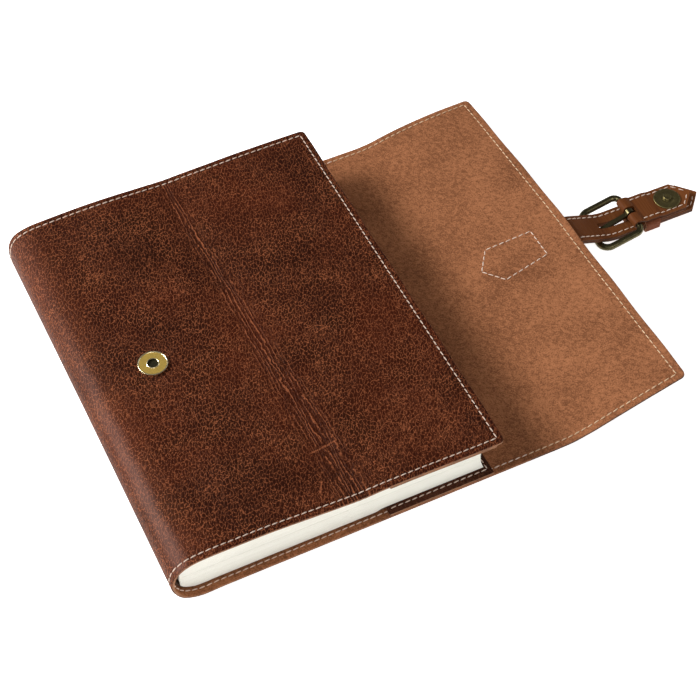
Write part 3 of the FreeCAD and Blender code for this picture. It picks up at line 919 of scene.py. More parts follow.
class Hide:
    """The one long piece of leather: front, spine, back, gusset and flap."""

    def __init__(self, knots: Sequence[Knot], snap_x: float) -> None:
        """Takes the knots along the hide and the place of the snap, kept flat.

        Args:
            knots: The grain face at places along the hide, in order.
            snap_x: The place of the snap along the front.
        """
        self.snap_x = snap_x
        self.along = np.array([knot.along for knot in knots])
        lines = [[getattr(knot, end) for knot in knots] for end in ("near", "middle", "far")]
        self.lines = np.array(lines)
        self.slopes = np.gradient(self.lines, self.along, axis=1)

    def _line(self, which: int, u: Array) -> Array:
        """One of the three lines at the given places, as x and z.

        Args:
            which: 0 for the near end, 1 for the middle and 2 for the far end.
            u: Places along the hide.

        Returns:
            The x and z of each place.
        """
        last = np.clip(np.searchsorted(self.along, u), 1, len(self.along) - 1)
        start = self.along[last - 1]
        span = self.along[last] - start
        t = ((u - start) / span)[:, None]
        p0, p1 = self.lines[which, last - 1], self.lines[which, last]
        m0 = self.slopes[which, last - 1] * span[:, None]
        m1 = self.slopes[which, last] * span[:, None]
        cubic = (2 * t**3 - 3 * t**2 + 1) * p0 + (t**3 - 2 * t**2 + t) * m0
        return cubic + (3 * t**2 - 2 * t**3) * p1 + (t**3 - t**2) * m1

    def _section(self, u: Array, y: Array) -> Array:
        """The grain face in x and z, before ripples.

        Args:
            u: Places along the hide.
            y: Places across it.

        Returns:
            The x and z of each place.
        """
        flat = 14.0 * ease(-u, 196.0, 212.0)
        share = np.clip((np.abs(y) - flat) / (HALF_HEIGHT - flat), 0.0, 1.02) ** 1.25
        side = np.where((y < 0)[:, None], self._line(0, u), self._line(2, u))
        middle = self._line(1, u)
        return middle + (side - middle) * share[:, None]

    def ripple(self, u: Array, y: Array) -> Array:
        """Soft waves and the pressed middle crease, outwards from the grain face.

        Args:
            u: Places along the hide.
            y: Places across it.

        Returns:
            How far the grain face stands out at each place.
        """
        front = ease(u, 16.0, 40.0)
        flap = ease(-u, 214.0, 232.0) * ease(np.abs(y), 15.0, 45.0)
        waves = 0.22 * np.sin(u / 21.0 + 1.3) * np.sin(y / 27.0 + 0.4)
        waves += 0.12 * np.sin(u / 9.0 + y / 23.0)
        line = CREASE_AT - CREASE_SLANT * y + 1.2 * np.sin(y / 23.0)
        off = u - line
        crease = -0.30 * np.exp(-((off / 6.0) ** 2))
        crease += 0.10 * np.exp(-((off / 9.0) ** 2)) * np.sin(off * 1.9 + 1.4 * np.sin(y / 12.0))
        reach = np.hypot(u - self.snap_x, y)
        calm = ease(reach, 8.0, 24.0)
        return (waves + crease) * front * calm + waves * 1.3 * flap

    def points(self, u: Array, y: Array, depth: Array) -> Array:
        """Points in the hide.

        Args:
            u: Places along it, as x on the front and on round the spine.
            y: Places across it.
            depth: Distances in from the grain face.

        Returns:
            The points, one a row.
        """
        ahead, behind = self._section(u + 0.2, y), self._section(u - 0.2, y)
        tangent = ahead - behind
        tangent /= np.linalg.norm(tangent, axis=1)[:, None]
        normal = np.stack([-tangent[:, 1], tangent[:, 0]], axis=1)
        shift = self.ripple(u, y) - depth
        place = self._section(u, y) + normal * shift[:, None]
        return np.stack([place[:, 0], y, place[:, 1]], axis=1)


@dataclass(frozen=True)
class Cut:
    """One length of the hide that bends at one fold."""

    name: str
    low: float
    high: float
    step: float
    bend: Bend
    replaces: tuple[str, ...]
    cut_low: bool = False
    cut_high: bool = False


class Cover:
    """The hide cut into lengths, with its rim, grooves and seams."""

    rim_radius: float = 0.55
    corner: float = 2.6

    def __init__(self, hide: Hide) -> None:
        """Takes the hide and lists its lengths from the flap round to the front.

        Args:
            hide: The hide.
        """
        self.hide = hide
        self.cuts = (
            Cut("flap_leather", FLAP_EDGE, GUSSET_SEAM, 1.8,
                Bend("gusset", "flap", (188.8, 0.9), (198.6, 0.9)), ("flap_panel",), cut_low=True),
            Cut("gusset_leather", GUSSET_SEAM, BACK_SEAM, 1.6,
                Bend("back", "gusset", (162.9, 0.9), (169.5, 0.9)), ("gusset_panel",)),
            Cut("back_leather", BACK_SEAM, SPINE_MIDS[0], 2.2,
                Bend("back", "spine_1", (13.4, 0.1), (7.0, 1.8)), ("back_panel", "spine_panel_1")),
            Cut("lower_spine_leather", SPINE_MIDS[0], SPINE_MIDS[1], 0.6,
                Bend("spine_1", "spine_2", (5.75, 3.75), (1.65, 10.85)), ("spine_panel_2",)),
            Cut("upper_spine_leather", SPINE_MIDS[1], SPINE_MIDS[2], 0.6,
                Bend("spine_2", "spine_3", (0.85, 15.17), (4.35, 21.24)), ("spine_panel_3",)),
            Cut("front_leather", SPINE_MIDS[2], FRONT_EDGE, 1.5,
                Bend("spine_3", "front", (7.25, 25.67), (12.6, 27.1)), ("front_panel",), cut_high=True),
        )

    def _edges(self, cut: Cut, u: Array, y: Array) -> tuple[Array, Array, Array]:
        """Rounds the corners of a cut end.

        Args:
            cut: The length of hide.
            u: Places along it.
            y: Places across it.

        Returns:
            The new places along and across, and the distance in from the nearest cut edge.
        """
        end = np.where(cut.cut_high, cut.high - u, np.where(cut.cut_low, u - cut.low, 1e3))
        side = HALF_HEIGHT - np.abs(y)
        inset_u = np.maximum(self.corner - end, 0.0)
        inset_y = np.maximum(self.corner - side, 0.0)
        reach = np.hypot(inset_u, inset_y)
        pull = np.where(reach > 0, np.maximum(inset_u, inset_y) / np.maximum(reach, 1e-9), 1.0)
        both = (inset_u > 0) & (inset_y > 0)
        toward = 1.0 if cut.cut_high else -1.0
        new_u = np.where(both, u + toward * (inset_u * pull - inset_u), u)
        new_y = np.where(both, y + np.sign(y) * (inset_y * pull - inset_y), y)
        return new_u, new_y, np.minimum(end, side)

    def lay(self, cut: Cut, u: Array, y: Array, share: Array) -> Array:
        """Points of a length of hide: share 1 is the grain face and 0 the flesh face.

        Args:
            cut: The length of hide.
            u: Places along it.
            y: Places across it.
            share: 1 for the grain face and 0 for the flesh face.

        Returns:
            The points.
        """
        new_u, new_y, edge = self._edges(cut, u, y)
        drop = rim_drop(edge, self.rim_radius)
        grain = drop + groove(edge)
        flesh = LEATHER - 0.6 * drop - groove(edge, depth=0.14)
        wander = 0.16 * np.sin(new_u / 6.1) * np.sin(new_y / 7.3 + 1.0) * ease(-edge, -3.0, 0.0)
        return self.hide.points(new_u + wander, new_y, np.where(share > 0.5, grain, flesh))

    def build(self) -> list[bpy.types.Object]:
        """Makes each length of the hide and bakes its placement into its mesh.

        Returns:
            The pieces.
        """
        across = stations(-HALF_HEIGHT, HALF_HEIGHT, 1.7, True, True)
        made = []
        for cut in self.cuts:
            along = stations(cut.low, cut.high, cut.step, cut.cut_low, cut.cut_high)
            piece = sheet_of(
                cut.name, along, across,
                lambda u, y, share, cut=cut: self.lay(cut, u, y, share),
                (Finish.COVER_GRAIN, Finish.FLESH, Finish.BURNISHED if cut.cut_low else Finish.CUT),
            )
            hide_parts(*cut.replaces)
            cut.bend.join(piece)
            made.append(piece)
        return made


# ---------------------------------------------------------------- sewing


@dataclass
class Sewing:
    """Rows of short, raised stitches."""

    pitch: float = 3.5
    length: float = 2.9
    width: float = 0.60
    height: float = 0.34
    slant: float = 5.0
    template: bpy.types.Object | None = None

    def _stitch(self) -> bpy.types.Object:
        """One stitch about the origin, lying along x, made once.

        Returns:
            The stitch.
        """
        if self.template is None:
            bpy.ops.object.select_all(action="DESELECT")
            bpy.ops.mesh.primitive_uv_sphere_add(segments=8, ring_count=6, radius=0.5)
            stitch = bpy.context.object
            stitch.name = "stitch_template"
            points = vertex_array(stitch)[:, [2, 0, 1]]
            swell = np.sign(points[:, 0]) * np.abs(points[:, 0] * 2.0) ** 0.8 / 2.0
            points[:, 0] = swell * self.length
            points[:, 1] *= self.width
            points[:, 2] = points[:, 2] * self.height * 2.0 - 0.10 * (points[:, 0] / self.length * 2.0) ** 2
            stitch.data.vertices.foreach_set("co", (points / 1000.0).ravel())
            stitch.data.materials.append(material_of(Finish.THREAD))
            bpy.ops.object.shade_smooth()
            self.template = stitch
        return self.template

    def row_of(self, name: str, runs: Sequence[tuple[Array, Array]], bend: Bend | str,
               slot: str) -> bpy.types.Object:
        """Sews rows of stitches as one piece.

        Args:
            name: The piece's name.
            runs: For each row, points along it in order and the outward direction at each.
            bend: The fold that it crosses, or the body that it rides on.
            slot: Not used.

        Returns:
            The joined stitches.
        """
        template = self._stitch()
        copies = []
        for points, normals in runs:
            reach = reach_along(points)
            count = max(1, int(round(reach[-1] / self.pitch)))
            half = self.length * 0.5
            for place in (np.arange(count) + 0.5) * reach[-1] / count:
                ahead = walk(points, reach, place + half) - walk(points, reach, place - half)
                here, up = walk(points, reach, place), walk(normals, reach, place)
                copies.append(self._copy(template, here, ahead, up))
        bpy.ops.object.select_all(action="DESELECT")
        for copy in copies:
            copy.select_set(True)
        bpy.context.view_layer.objects.active = copies[0]
        if len(copies) > 1:
            bpy.ops.object.join()
        seam = bpy.context.view_layer.objects.active
        rename(seam, name)
        seam.select_set(False)
        if isinstance(bend, Bend):
            bend.join(seam)
        else:
            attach(seam, bend)
        return seam

    def _copy(self, template: bpy.types.Object, here: Array, ahead: Array, up: Array) -> bpy.types.Object:
        """A copy of the stitch at a point, lying along ahead with up outwards.

        Args:
            template: The stitch.
            here: The copy's middle.
            ahead: The way that it lies.
            up: The way out of the leather.

        Returns:
            The copy.
        """
        turn = Matrix.Rotation(math.radians(self.slant), 3, Vector(up))
        front = (turn @ Vector(ahead)).normalized()
        side = Vector(up).cross(front).normalized()
        top = front.cross(side)
        turn = Matrix((front, side, top)).transposed().to_4x4()
        turn.translation = row(*here)
        copy = template.copy()
        copy.data = template.data.copy()
        copy.data.transform(turn)
        bpy.context.scene.collection.objects.link(copy)
        return copy

    def clear(self) -> None:
        """Throws the template away."""
        if self.template is not None:
            bpy.data.objects.remove(self.template)
            self.template = None


class CoverSewing:
    """The seam round the hide's edges, seen on both of its faces."""

    flap_inset: float = 3.8

    def __init__(self, cover: Cover, sewing: Sewing) -> None:
        """Takes the cover and the sewing tool."""
        self.cover = cover
        self.sewing = sewing

    def run(self, start: tuple[float, float], end: tuple[float, float], depth: float,
            outward: float) -> tuple[Array, Array]:
        """A straight row along the hide.

        Args:
            start: First place along and across.
            end: Last place along and across.
            depth: How deep in the hide the thread's middle lies.
            outward: 1 for a row on the grain face, -1 for one on the flesh face.

        Returns:
            Points along the row, and the outward direction at each.
        """
        u, y = between(start, end, 1.2, 4)
        here = self.cover.hide.points(u, y, np.full(len(u), depth))
        over = self.cover.hide.points(u, y, np.full(len(u), depth - outward))
        return here, over - here

    def build(self) -> list[bpy.types.Object]:
        """Sews every length of the hide.

        Returns:
            One piece of stitches for each length.
        """
        made = []
        line = HALF_HEIGHT - STITCH_INSET
        for cut in self.cover.cuts:
            low, high = cut.low, cut.high
            if cut.cut_high:
                high -= STITCH_INSET
            if cut.cut_low:
                low += self.flap_inset
            runs = []
            for depth, outward in ((0.16, 1.0), (LEATHER, -1.0)):
                for side in (-line, line):
                    runs.append(self.run((low, side), (high, side), depth, outward))
                if cut.cut_high:
                    runs.append(self.run((high, -line), (high, line), depth, outward))
                if cut.cut_low:
                    runs.append(self.run((low, -line), (low, line), depth, outward))
            name = cut.name.replace("leather", "stitches")
            seam = self.sewing.row_of(name, runs, cut.bend, "grain_leather")
            if cut.low < GUSSET_SEAM:
                seam.data.materials[0] = material_of(Finish.TAN_THREAD)
            made.append(seam)
        return made


# ---------------------------------------------------------------- sleeves and notebook


@dataclass
class Sleeve:
    """A strip of leather sewn inside a cover board, whose pocket holds the notebook's card."""

    hide: Hide
    sewing: Sewing
    body: str
    node: str
    inner: float
    outer: float
    skin: float = 1.1
    pocket_top: float = 4.2
    sewn_top: float = 2.95
    seam_inset: float = 3.1
    fore_inset: float = 2.2

    def lay(self, u: Array, y: Array, share: Array) -> Array:
        """Points of the sleeve: share 1 lies against the board and 0 faces the pages.

        Args:
            u: Places along the hide.
            y: Places across it.
            share: 1 against the board and 0 facing the pages.

        Returns:
            The points.
        """
        low, high = min(self.inner, self.outer), max(self.inner, self.outer)
        mouth = np.abs(u - self.inner)
        side = HALF_HEIGHT - np.abs(y)
        fore = np.abs(self.outer - u)
        sewn = np.minimum(side, fore)
        top = self.sewn_top + (self.pocket_top - self.sewn_top) * ease(sewn, 2.2, 5.6)
        edge = np.minimum(np.minimum(side, fore), mouth)
        drop = rim_drop(edge, 0.35)
        depth = np.where(share > 0.5, top - self.skin, top - drop - groove(sewn, self.seam_inset, 0.12))
        return self.hide.points(np.clip(u, low, high), y, depth)

    def build(self) -> list[bpy.types.Object]:
        """Makes the sleeve and its seam.

        Returns:
            The leather and its stitches.
        """
        low, high = sorted((self.inner, self.outer))
        across = stations(-HALF_HEIGHT + 0.15, HALF_HEIGHT - 0.15, 3.0, True, True)
        along = stations(low, high, 2.4, True, True)
        piece = sheet_of(self.node.replace("sleeve", "sleeve_leather"), along, across, self.lay,
                         (Finish.FLESH, Finish.SLEEVE_GRAIN, Finish.CUT))
        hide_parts(self.node)
        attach(piece, self.body)
        inward = 1.0 if self.outer < self.inner else -1.0
        side, fore = HALF_HEIGHT - self.seam_inset, self.outer + inward * self.fore_inset
        mouth = self.inner - inward * 1.5
        corners = [(mouth, -side), (fore, -side), (fore, side), (mouth, side)]
        runs = []
        for start, end in zip(corners, corners[1:]):
            u, y = between(start, end, 1.2, 4)
            here = self.lay(u, y, np.zeros(len(u)))
            runs.append((here, here - self.lay(u, y, np.ones(len(u)))))
        seam = self.sewing.row_of(self.node + "_stitches", runs, self.body, "sleeve_leather")
        return [piece, seam]


@dataclass
class Notebook:
    """The notebook in the cover: its card and two halves of its pages."""

    cover: Cover
    half_card: float = 104.3
    half_page: float = 105.0
    card_top: float = 2.15
    card_bottom: float = 2.95
    card_edge: float = 155.8
    page_edge: float = 155.5
    edge_sag: float = 2.5
    split: float = 13.7
    split_gap: float = 0.15
    open_shift: float = 22.5
    gutter: float = 4.45

    def cards(self) -> list[bpy.types.Object]:
        """Makes the notebook's card cover, which bends with the hide.

        Returns:
            The four lengths of card.
        """
        cuts = self.cover.cuts
        parts = (
            ("front_card", SPINE_MIDS[2], self.card_edge, cuts[5].bend, ("notebook_front_card",)),
            ("upper_spine_card", SPINE_MIDS[1], SPINE_MIDS[2], cuts[4].bend, ("notebook_spine_3",)),
            ("lower_spine_card", SPINE_MIDS[0], SPINE_MIDS[1], cuts[3].bend, ("notebook_spine_2",)),
            ("back_card", BACK_OFFSET - self.card_edge, SPINE_MIDS[0], cuts[2].bend,
             ("notebook_back_card", "notebook_spine_1")),
        )
        made = []
        for name, low, high, bend, nodes in parts:
            step = 1.0 if high - low < 20.0 else 3.5
            along = stations(low, high, step, False, False)
            across = np.linspace(-self.half_card, self.half_card, 41)
            piece = sheet_of(name, along, across, self._lay_card, (Finish.CARD,) * 3)
            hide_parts(*nodes)
            bend.join(piece)
            made.append(piece)
        return made

    def _lay_card(self, u: Array, y: Array, share: Array) -> Array:
        """Points of the card between its two faces."""
        depth = np.where(share > 0.5, self.card_top, self.card_bottom)
        return self.cover.hide.points(u, y, depth)

    def _room(self, u: Array, y: Array, x_line: Array) -> Array:
        """The board's inner face: its card, or its sleeve towards the fore edge."""
        depth = 3.15 + 1.3 * ease(x_line, 98.0, 105.0)
        return self.cover.hide.points(u, y, depth)

    def _lay_pages(self, u: Array, y: Array, share: Array, upper: bool) -> Array:
        """Points of half the pages: share 1 is against the cover and 0 at the split.

        Args:
            u: Places along the hide.
            y: Places across it.
            share: 1 against the cover and 0 at the split.
            upper: Whether it is the upper half.

        Returns:
            The points.
        """
        x_line = u if upper else BACK_OFFSET - u
        outer = self._room(u, y, x_line)
        level = self.split + (self.split_gap if upper else -self.split_gap)
        if upper:
            opened = np.maximum(u - self.open_shift, 20.0)
            beneath = self._room(opened, y, opened)[:, 2] - 0.15
            top = np.maximum(np.minimum(outer[:, 2], beneath), level + 0.4)
        else:
            top = np.minimum(outer[:, 2], level - 0.4)
        z = level + (top - level) * share
        bow = np.clip(1.0 - ((z - self.split) / 10.5) ** 2, 0.0, 1.0)
        reach = ease(outer[:, 0], self.page_edge - 14.0, self.page_edge)
        ragged = 0.10 * np.sin(z * 5.3 + y * 0.07) * (np.abs(np.abs(y) - self.half_page) < 0.01)
        x = np.maximum(outer[:, 0], self.gutter) - self.edge_sag * bow * reach
        return np.stack([x, y + ragged, z], axis=1)

    def pages(self) -> list[bpy.types.Object]:
        """Makes the two halves of the page block.

        Returns:
            The lower and the upper half.
        """
        made = []
        across = np.linspace(-self.half_page, self.half_page, 43)
        for upper, name, low, high in (
            (False, "pages_lower_block", BACK_OFFSET - self.page_edge, SPINE_MIDS[1]),
            (True, "pages_upper_block", SPINE_MIDS[1], self.page_edge),
        ):
            along = stations(low, high, 2.5, False, False)
            piece = sheet_of(name, along, across,
                             lambda u, y, share, upper=upper: self._lay_pages(u, y, share, upper),
                             (Finish.PAGES,) * 3, layers=14)
            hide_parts("pages_upper" if upper else "pages_lower")
            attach(piece, "pages_upper" if upper else "back")
            made.append(piece)
        return made


# ---------------------------------------------------------------- strap


class Ribbon:
    """A strap's middle line in x and z, walked by length."""

    def __init__(self, corners: Sequence[tuple[float, float]], start: float = 0.0) -> None:
        """Takes the line's points and the length at its first point."""
        self.corners = np.array(corners)
        self.reach = start + reach_along(self.corners)

    def points(self, s: Array, y: Array, lift: Array, soften: float = 1.0) -> Array:
        """Points of the ribbon.

        Args:
            s: Places along it.
            y: Places across it.
            lift: Distances above its line.
            soften: How far to each side its corners are rounded.

        Returns:
            The points, one a row.
        """
        offsets = np.linspace(-soften, soften, 7)
        place = np.zeros((len(s), 2))
        for offset in offsets:
            place += self._raw(s + offset) / len(offsets)
        tangent = self._raw(s + soften) - self._raw(s - soften)
        tangent /= np.linalg.norm(tangent, axis=1)[:, None]
        x = place[:, 0] - tangent[:, 1] * lift
        z = place[:, 1] + tangent[:, 0] * lift
        return np.stack([x, y, z], axis=1)

    def _raw(self, s: Array) -> Array:
        """The line itself, carried on straight past its ends.

        Args:
            s: Places along the line.

        Returns:
            The x and z of each place.
        """
        first, last = self.reach[0], self.reach[-1]
        x = np.interp(s, self.reach, self.corners[:, 0])
        z = np.interp(s, self.reach, self.corners[:, 1])
        line = np.stack([x, z], axis=1)
        before = np.minimum(s - first, 0.0)[:, None]
        after = np.maximum(s - last, 0.0)[:, None]
        head = (self.corners[1] - self.corners[0]) / (self.reach[1] - self.reach[0])
        tail = (self.corners[-1] - self.corners[-2]) / (self.reach[-1] - self.reach[-2])
        return line + before * head + after * tail


@dataclass
class Strap:
    """The strap: a sewn, pointed base under the flap, a free length and a pointed tip."""

    hide: Hide
    sewing: Sewing
    half_width: float = 9.15
    ply: float = 1.45
    base_tip: float = -54.0
    base_shoulder: float = -44.0
    base_half: float = 13.3
    waist: float = -18.0
    waist_half: float = 10.7
    root: float = 22.0
    tip: float = 77.0
    shoulder: float = 69.0
    drop: float = 21.0
    slot: tuple[float, float] = (17.6, 33.8)
    slot_half: float = 2.0
    edge: tuple[float, float] = (261.37, 13.256)
    seam: float = 11.0
    seam_inset: float = 2.3
    soften: float = 3.2
    bend_flap: Bend = Bend("flap", "strap_root", (259.6, 12.0), (264.6, 12.0))
    bend_end: Bend = Bend("strap_root", "strap_end", (279.4, 5.0), (285.0, 5.0))

    def __post_init__(self) -> None:
        """Works out the line of the free length's upper face."""
        drop = math.radians(self.drop)
        rise = math.radians(11.0)
        bend = (self.edge[0] + self.root * math.cos(drop), self.edge[1] - self.root * math.sin(drop))
        before = (self.edge[0] - 20.0 * math.cos(rise), self.edge[1] - 20.0 * math.sin(rise))
        end = (bend[0] + self.tip - self.root, bend[1])
        self.line = Ribbon([before, self.edge, bend, end], start=-20.0)
        self.bend_place = bend

    def half(self, s: Array) -> Array:
        """Half the strap's width at places along it.

        Args:
            s: Places along the strap.

        Returns:
            The half widths.
        """
        knots = [self.base_tip, self.base_shoulder, self.waist, -0.5, self.shoulder, self.tip]
        halves = [0.35, self.base_half, self.waist_half, self.half_width, self.half_width, 0.35]
        return np.interp(s, knots, halves)

    def lay(self, s: Array, side: Array, share: Array, top: float) -> Array:
        """Points of one layer.

        Args:
            s: Places along the strap from the flap's edge.
            side: Shares of its half width, -1 to 1.
            share: 1 for its upper face and 0 for its lower one.
            top: The layer's upper face, below the line.

        Returns:
            The points.
        """
        half = self.half(s)
        y = side * half
        edge = np.minimum(half - np.abs(y), np.minimum(s - self.base_tip, self.tip - s) * 0.8)
        drop = rim_drop(np.maximum(edge, 0.0), 0.4)
        dip = drop + groove(edge, self.seam_inset, 0.14)
        outer = top - dip * (1.0 if top > -1.0 else 0.5)
        under = top - self.ply + dip * (1.0 if top < -1.0 else 0.5)
        lift = np.where(share > 0.5, outer, under)
        free = self.line.points(s, y, lift, self.soften)
        base = self.hide.points(FLAP_EDGE - s, y, lift)
        merge = ease(s, -5.0, -0.5)[:, None]
        return base * (1.0 - merge) + free * merge

    def build(self) -> list[bpy.types.Object]:
        """Makes the strap's two layers, each in two lengths, and their seams.

        Returns:
            The pieces.
        """
        side = np.array([0, 0.012, 0.035, 0.075, 0.14, 0.20, 0.25, 0.30, 0.36, 0.5])
        across = np.concatenate([side * 2 - 1, [-0.22, 0.0, 0.22], (1 - side[::-1] * 2)])
        across = np.unique(np.round(across, 4))
        parts = (
            ("strap_base", self.base_tip, self.seam, self.bend_flap,
             (("strap_anchor_lining", "strap_root_lining"), ("strap_anchor", "strap_root"))),
            ("strap_tip", self.seam, self.tip, self.bend_end, (("strap_end_lining",), ("strap_end",))),
        )
        made = []
        for name, low, high, bend, nodes in parts:
            rim = np.array([0.15, 0.45])
            along = np.unique(np.concatenate([np.arange(low, high, 1.0), [high], low + rim, high - rim]))
            for index, layer in enumerate(("upper", "lower")):
                faces = (Finish.STRAP_GRAIN, Finish.STRAP_GRAIN, Finish.BURNISHED)
                top = -index * self.ply
                piece = sheet_of(
                    f"{name}_{layer}", along, across,
                    lambda s, y, share, top=top: self.lay(s, y, share, top), faces,
                )
                self._cut_slot(piece, low, high)
                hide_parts(*nodes[index])
                bend.join(piece)
                made.append(piece)
        made += self._sew()
        return made

    def _cut_slot(self, piece: bpy.types.Object, low: float, high: float) -> None:
        """Cuts the prong's slot through a layer.

        Args:
            piece: The layer.
            low: Its first place along the strap.
            high: Its last place.
        """
        if high < self.slot[0]:
            return
        middle = (self.slot[0] + self.slot[1]) / 2
        cutter = cut_block("slot_cutter", (17, 1, 1))
        unit = vertex_array(cutter)
        s = middle + unit[:, 0] * (self.slot[1] - self.slot[0])
        place = self.line.points(s, unit[:, 1] * 2 * self.slot_half, unit[:, 2] * 9.0 - 1.4, self.soften)
        move_vertices(cutter, place)
        apply_modifier(piece, "BOOLEAN", operation="DIFFERENCE", object=cutter, solver="EXACT")
        bpy.data.objects.remove(cutter)
        smooth(piece)

    def _sew(self) -> list[bpy.types.Object]:
        """Sews the free length's sides and the base's outline.

        Returns:
            The seams.
        """
        top, bottom = 0.02, -2 * self.ply - 0.02

        def run(s0: float, s1: float, side: float, lift: float, out: float) -> tuple[Array, Array]:
            """A row along one side of the strap.

            Args:
                s0: First place along the strap.
                s1: Last place.
                side: 1 for the far side and -1 for the near one.
                lift: Height above the line.
                out: 1 for an upper face and -1 for a lower one.

            Returns:
                Points along the row, and the outward direction at each.
            """
            s = np.linspace(s0, s1, max(4, int(abs(s1 - s0))))
            y = side * (self.half(s) - self.seam_inset)
            free = self.line.points(s, y, np.full(len(s), lift), self.soften)
            over = self.line.points(s, y, np.full(len(s), lift + out), self.soften)
            return free, over - free

        tip_s = self.tip - 3.4
        runs_root, runs_end = [], []
        for lift, out in ((top, 1.0), (bottom, -1.0)):
            for side in (-1.0, 1.0):
                runs_root.append(run(1.5, self.seam, side, lift, out))
                runs_end.append(run(self.seam, self.shoulder - 0.6, side, lift, out))
                runs_end.append(run(self.shoulder - 0.4, tip_s, side, lift, out))
        base = self._base_runs()
        return [
            self.sewing.row_of("strap_base_stitches", runs_root + base, self.bend_flap, "strap_leather"),
            self.sewing.row_of("strap_tip_stitches", runs_end, self.bend_end, "strap_leather"),
        ]

    def _base_runs(self) -> list[tuple[Array, Array]]:
        """Rows round the base, on the flap's flesh face and under the strap.

        Returns:
            The rows.
        """
        waist, waist_y = self.waist - 0.6, self.waist_half - self.seam_inset + 0.2
        shoulder, shoulder_y = self.base_shoulder + 0.6, self.base_half - self.seam_inset
        corners = [
            (waist, waist_y), (shoulder, shoulder_y), (self.base_tip + 2.6, 0.0),
            (shoulder, -shoulder_y), (waist, -waist_y), (waist, waist_y),
        ]
        runs = []
        for depth, out in ((LEATHER, 1.0), (-2 * self.ply - 0.02, -1.0)):
            for start, end in zip(corners, corners[1:]):
                s, y = between(start, end, 1.0, 6)
                here = self.hide.points(FLAP_EDGE - s, y, np.full(len(s), depth))
                over = self.hide.points(FLAP_EDGE - s, y, np.full(len(s), depth + out))
                runs.append((here, over - here))
        return runs


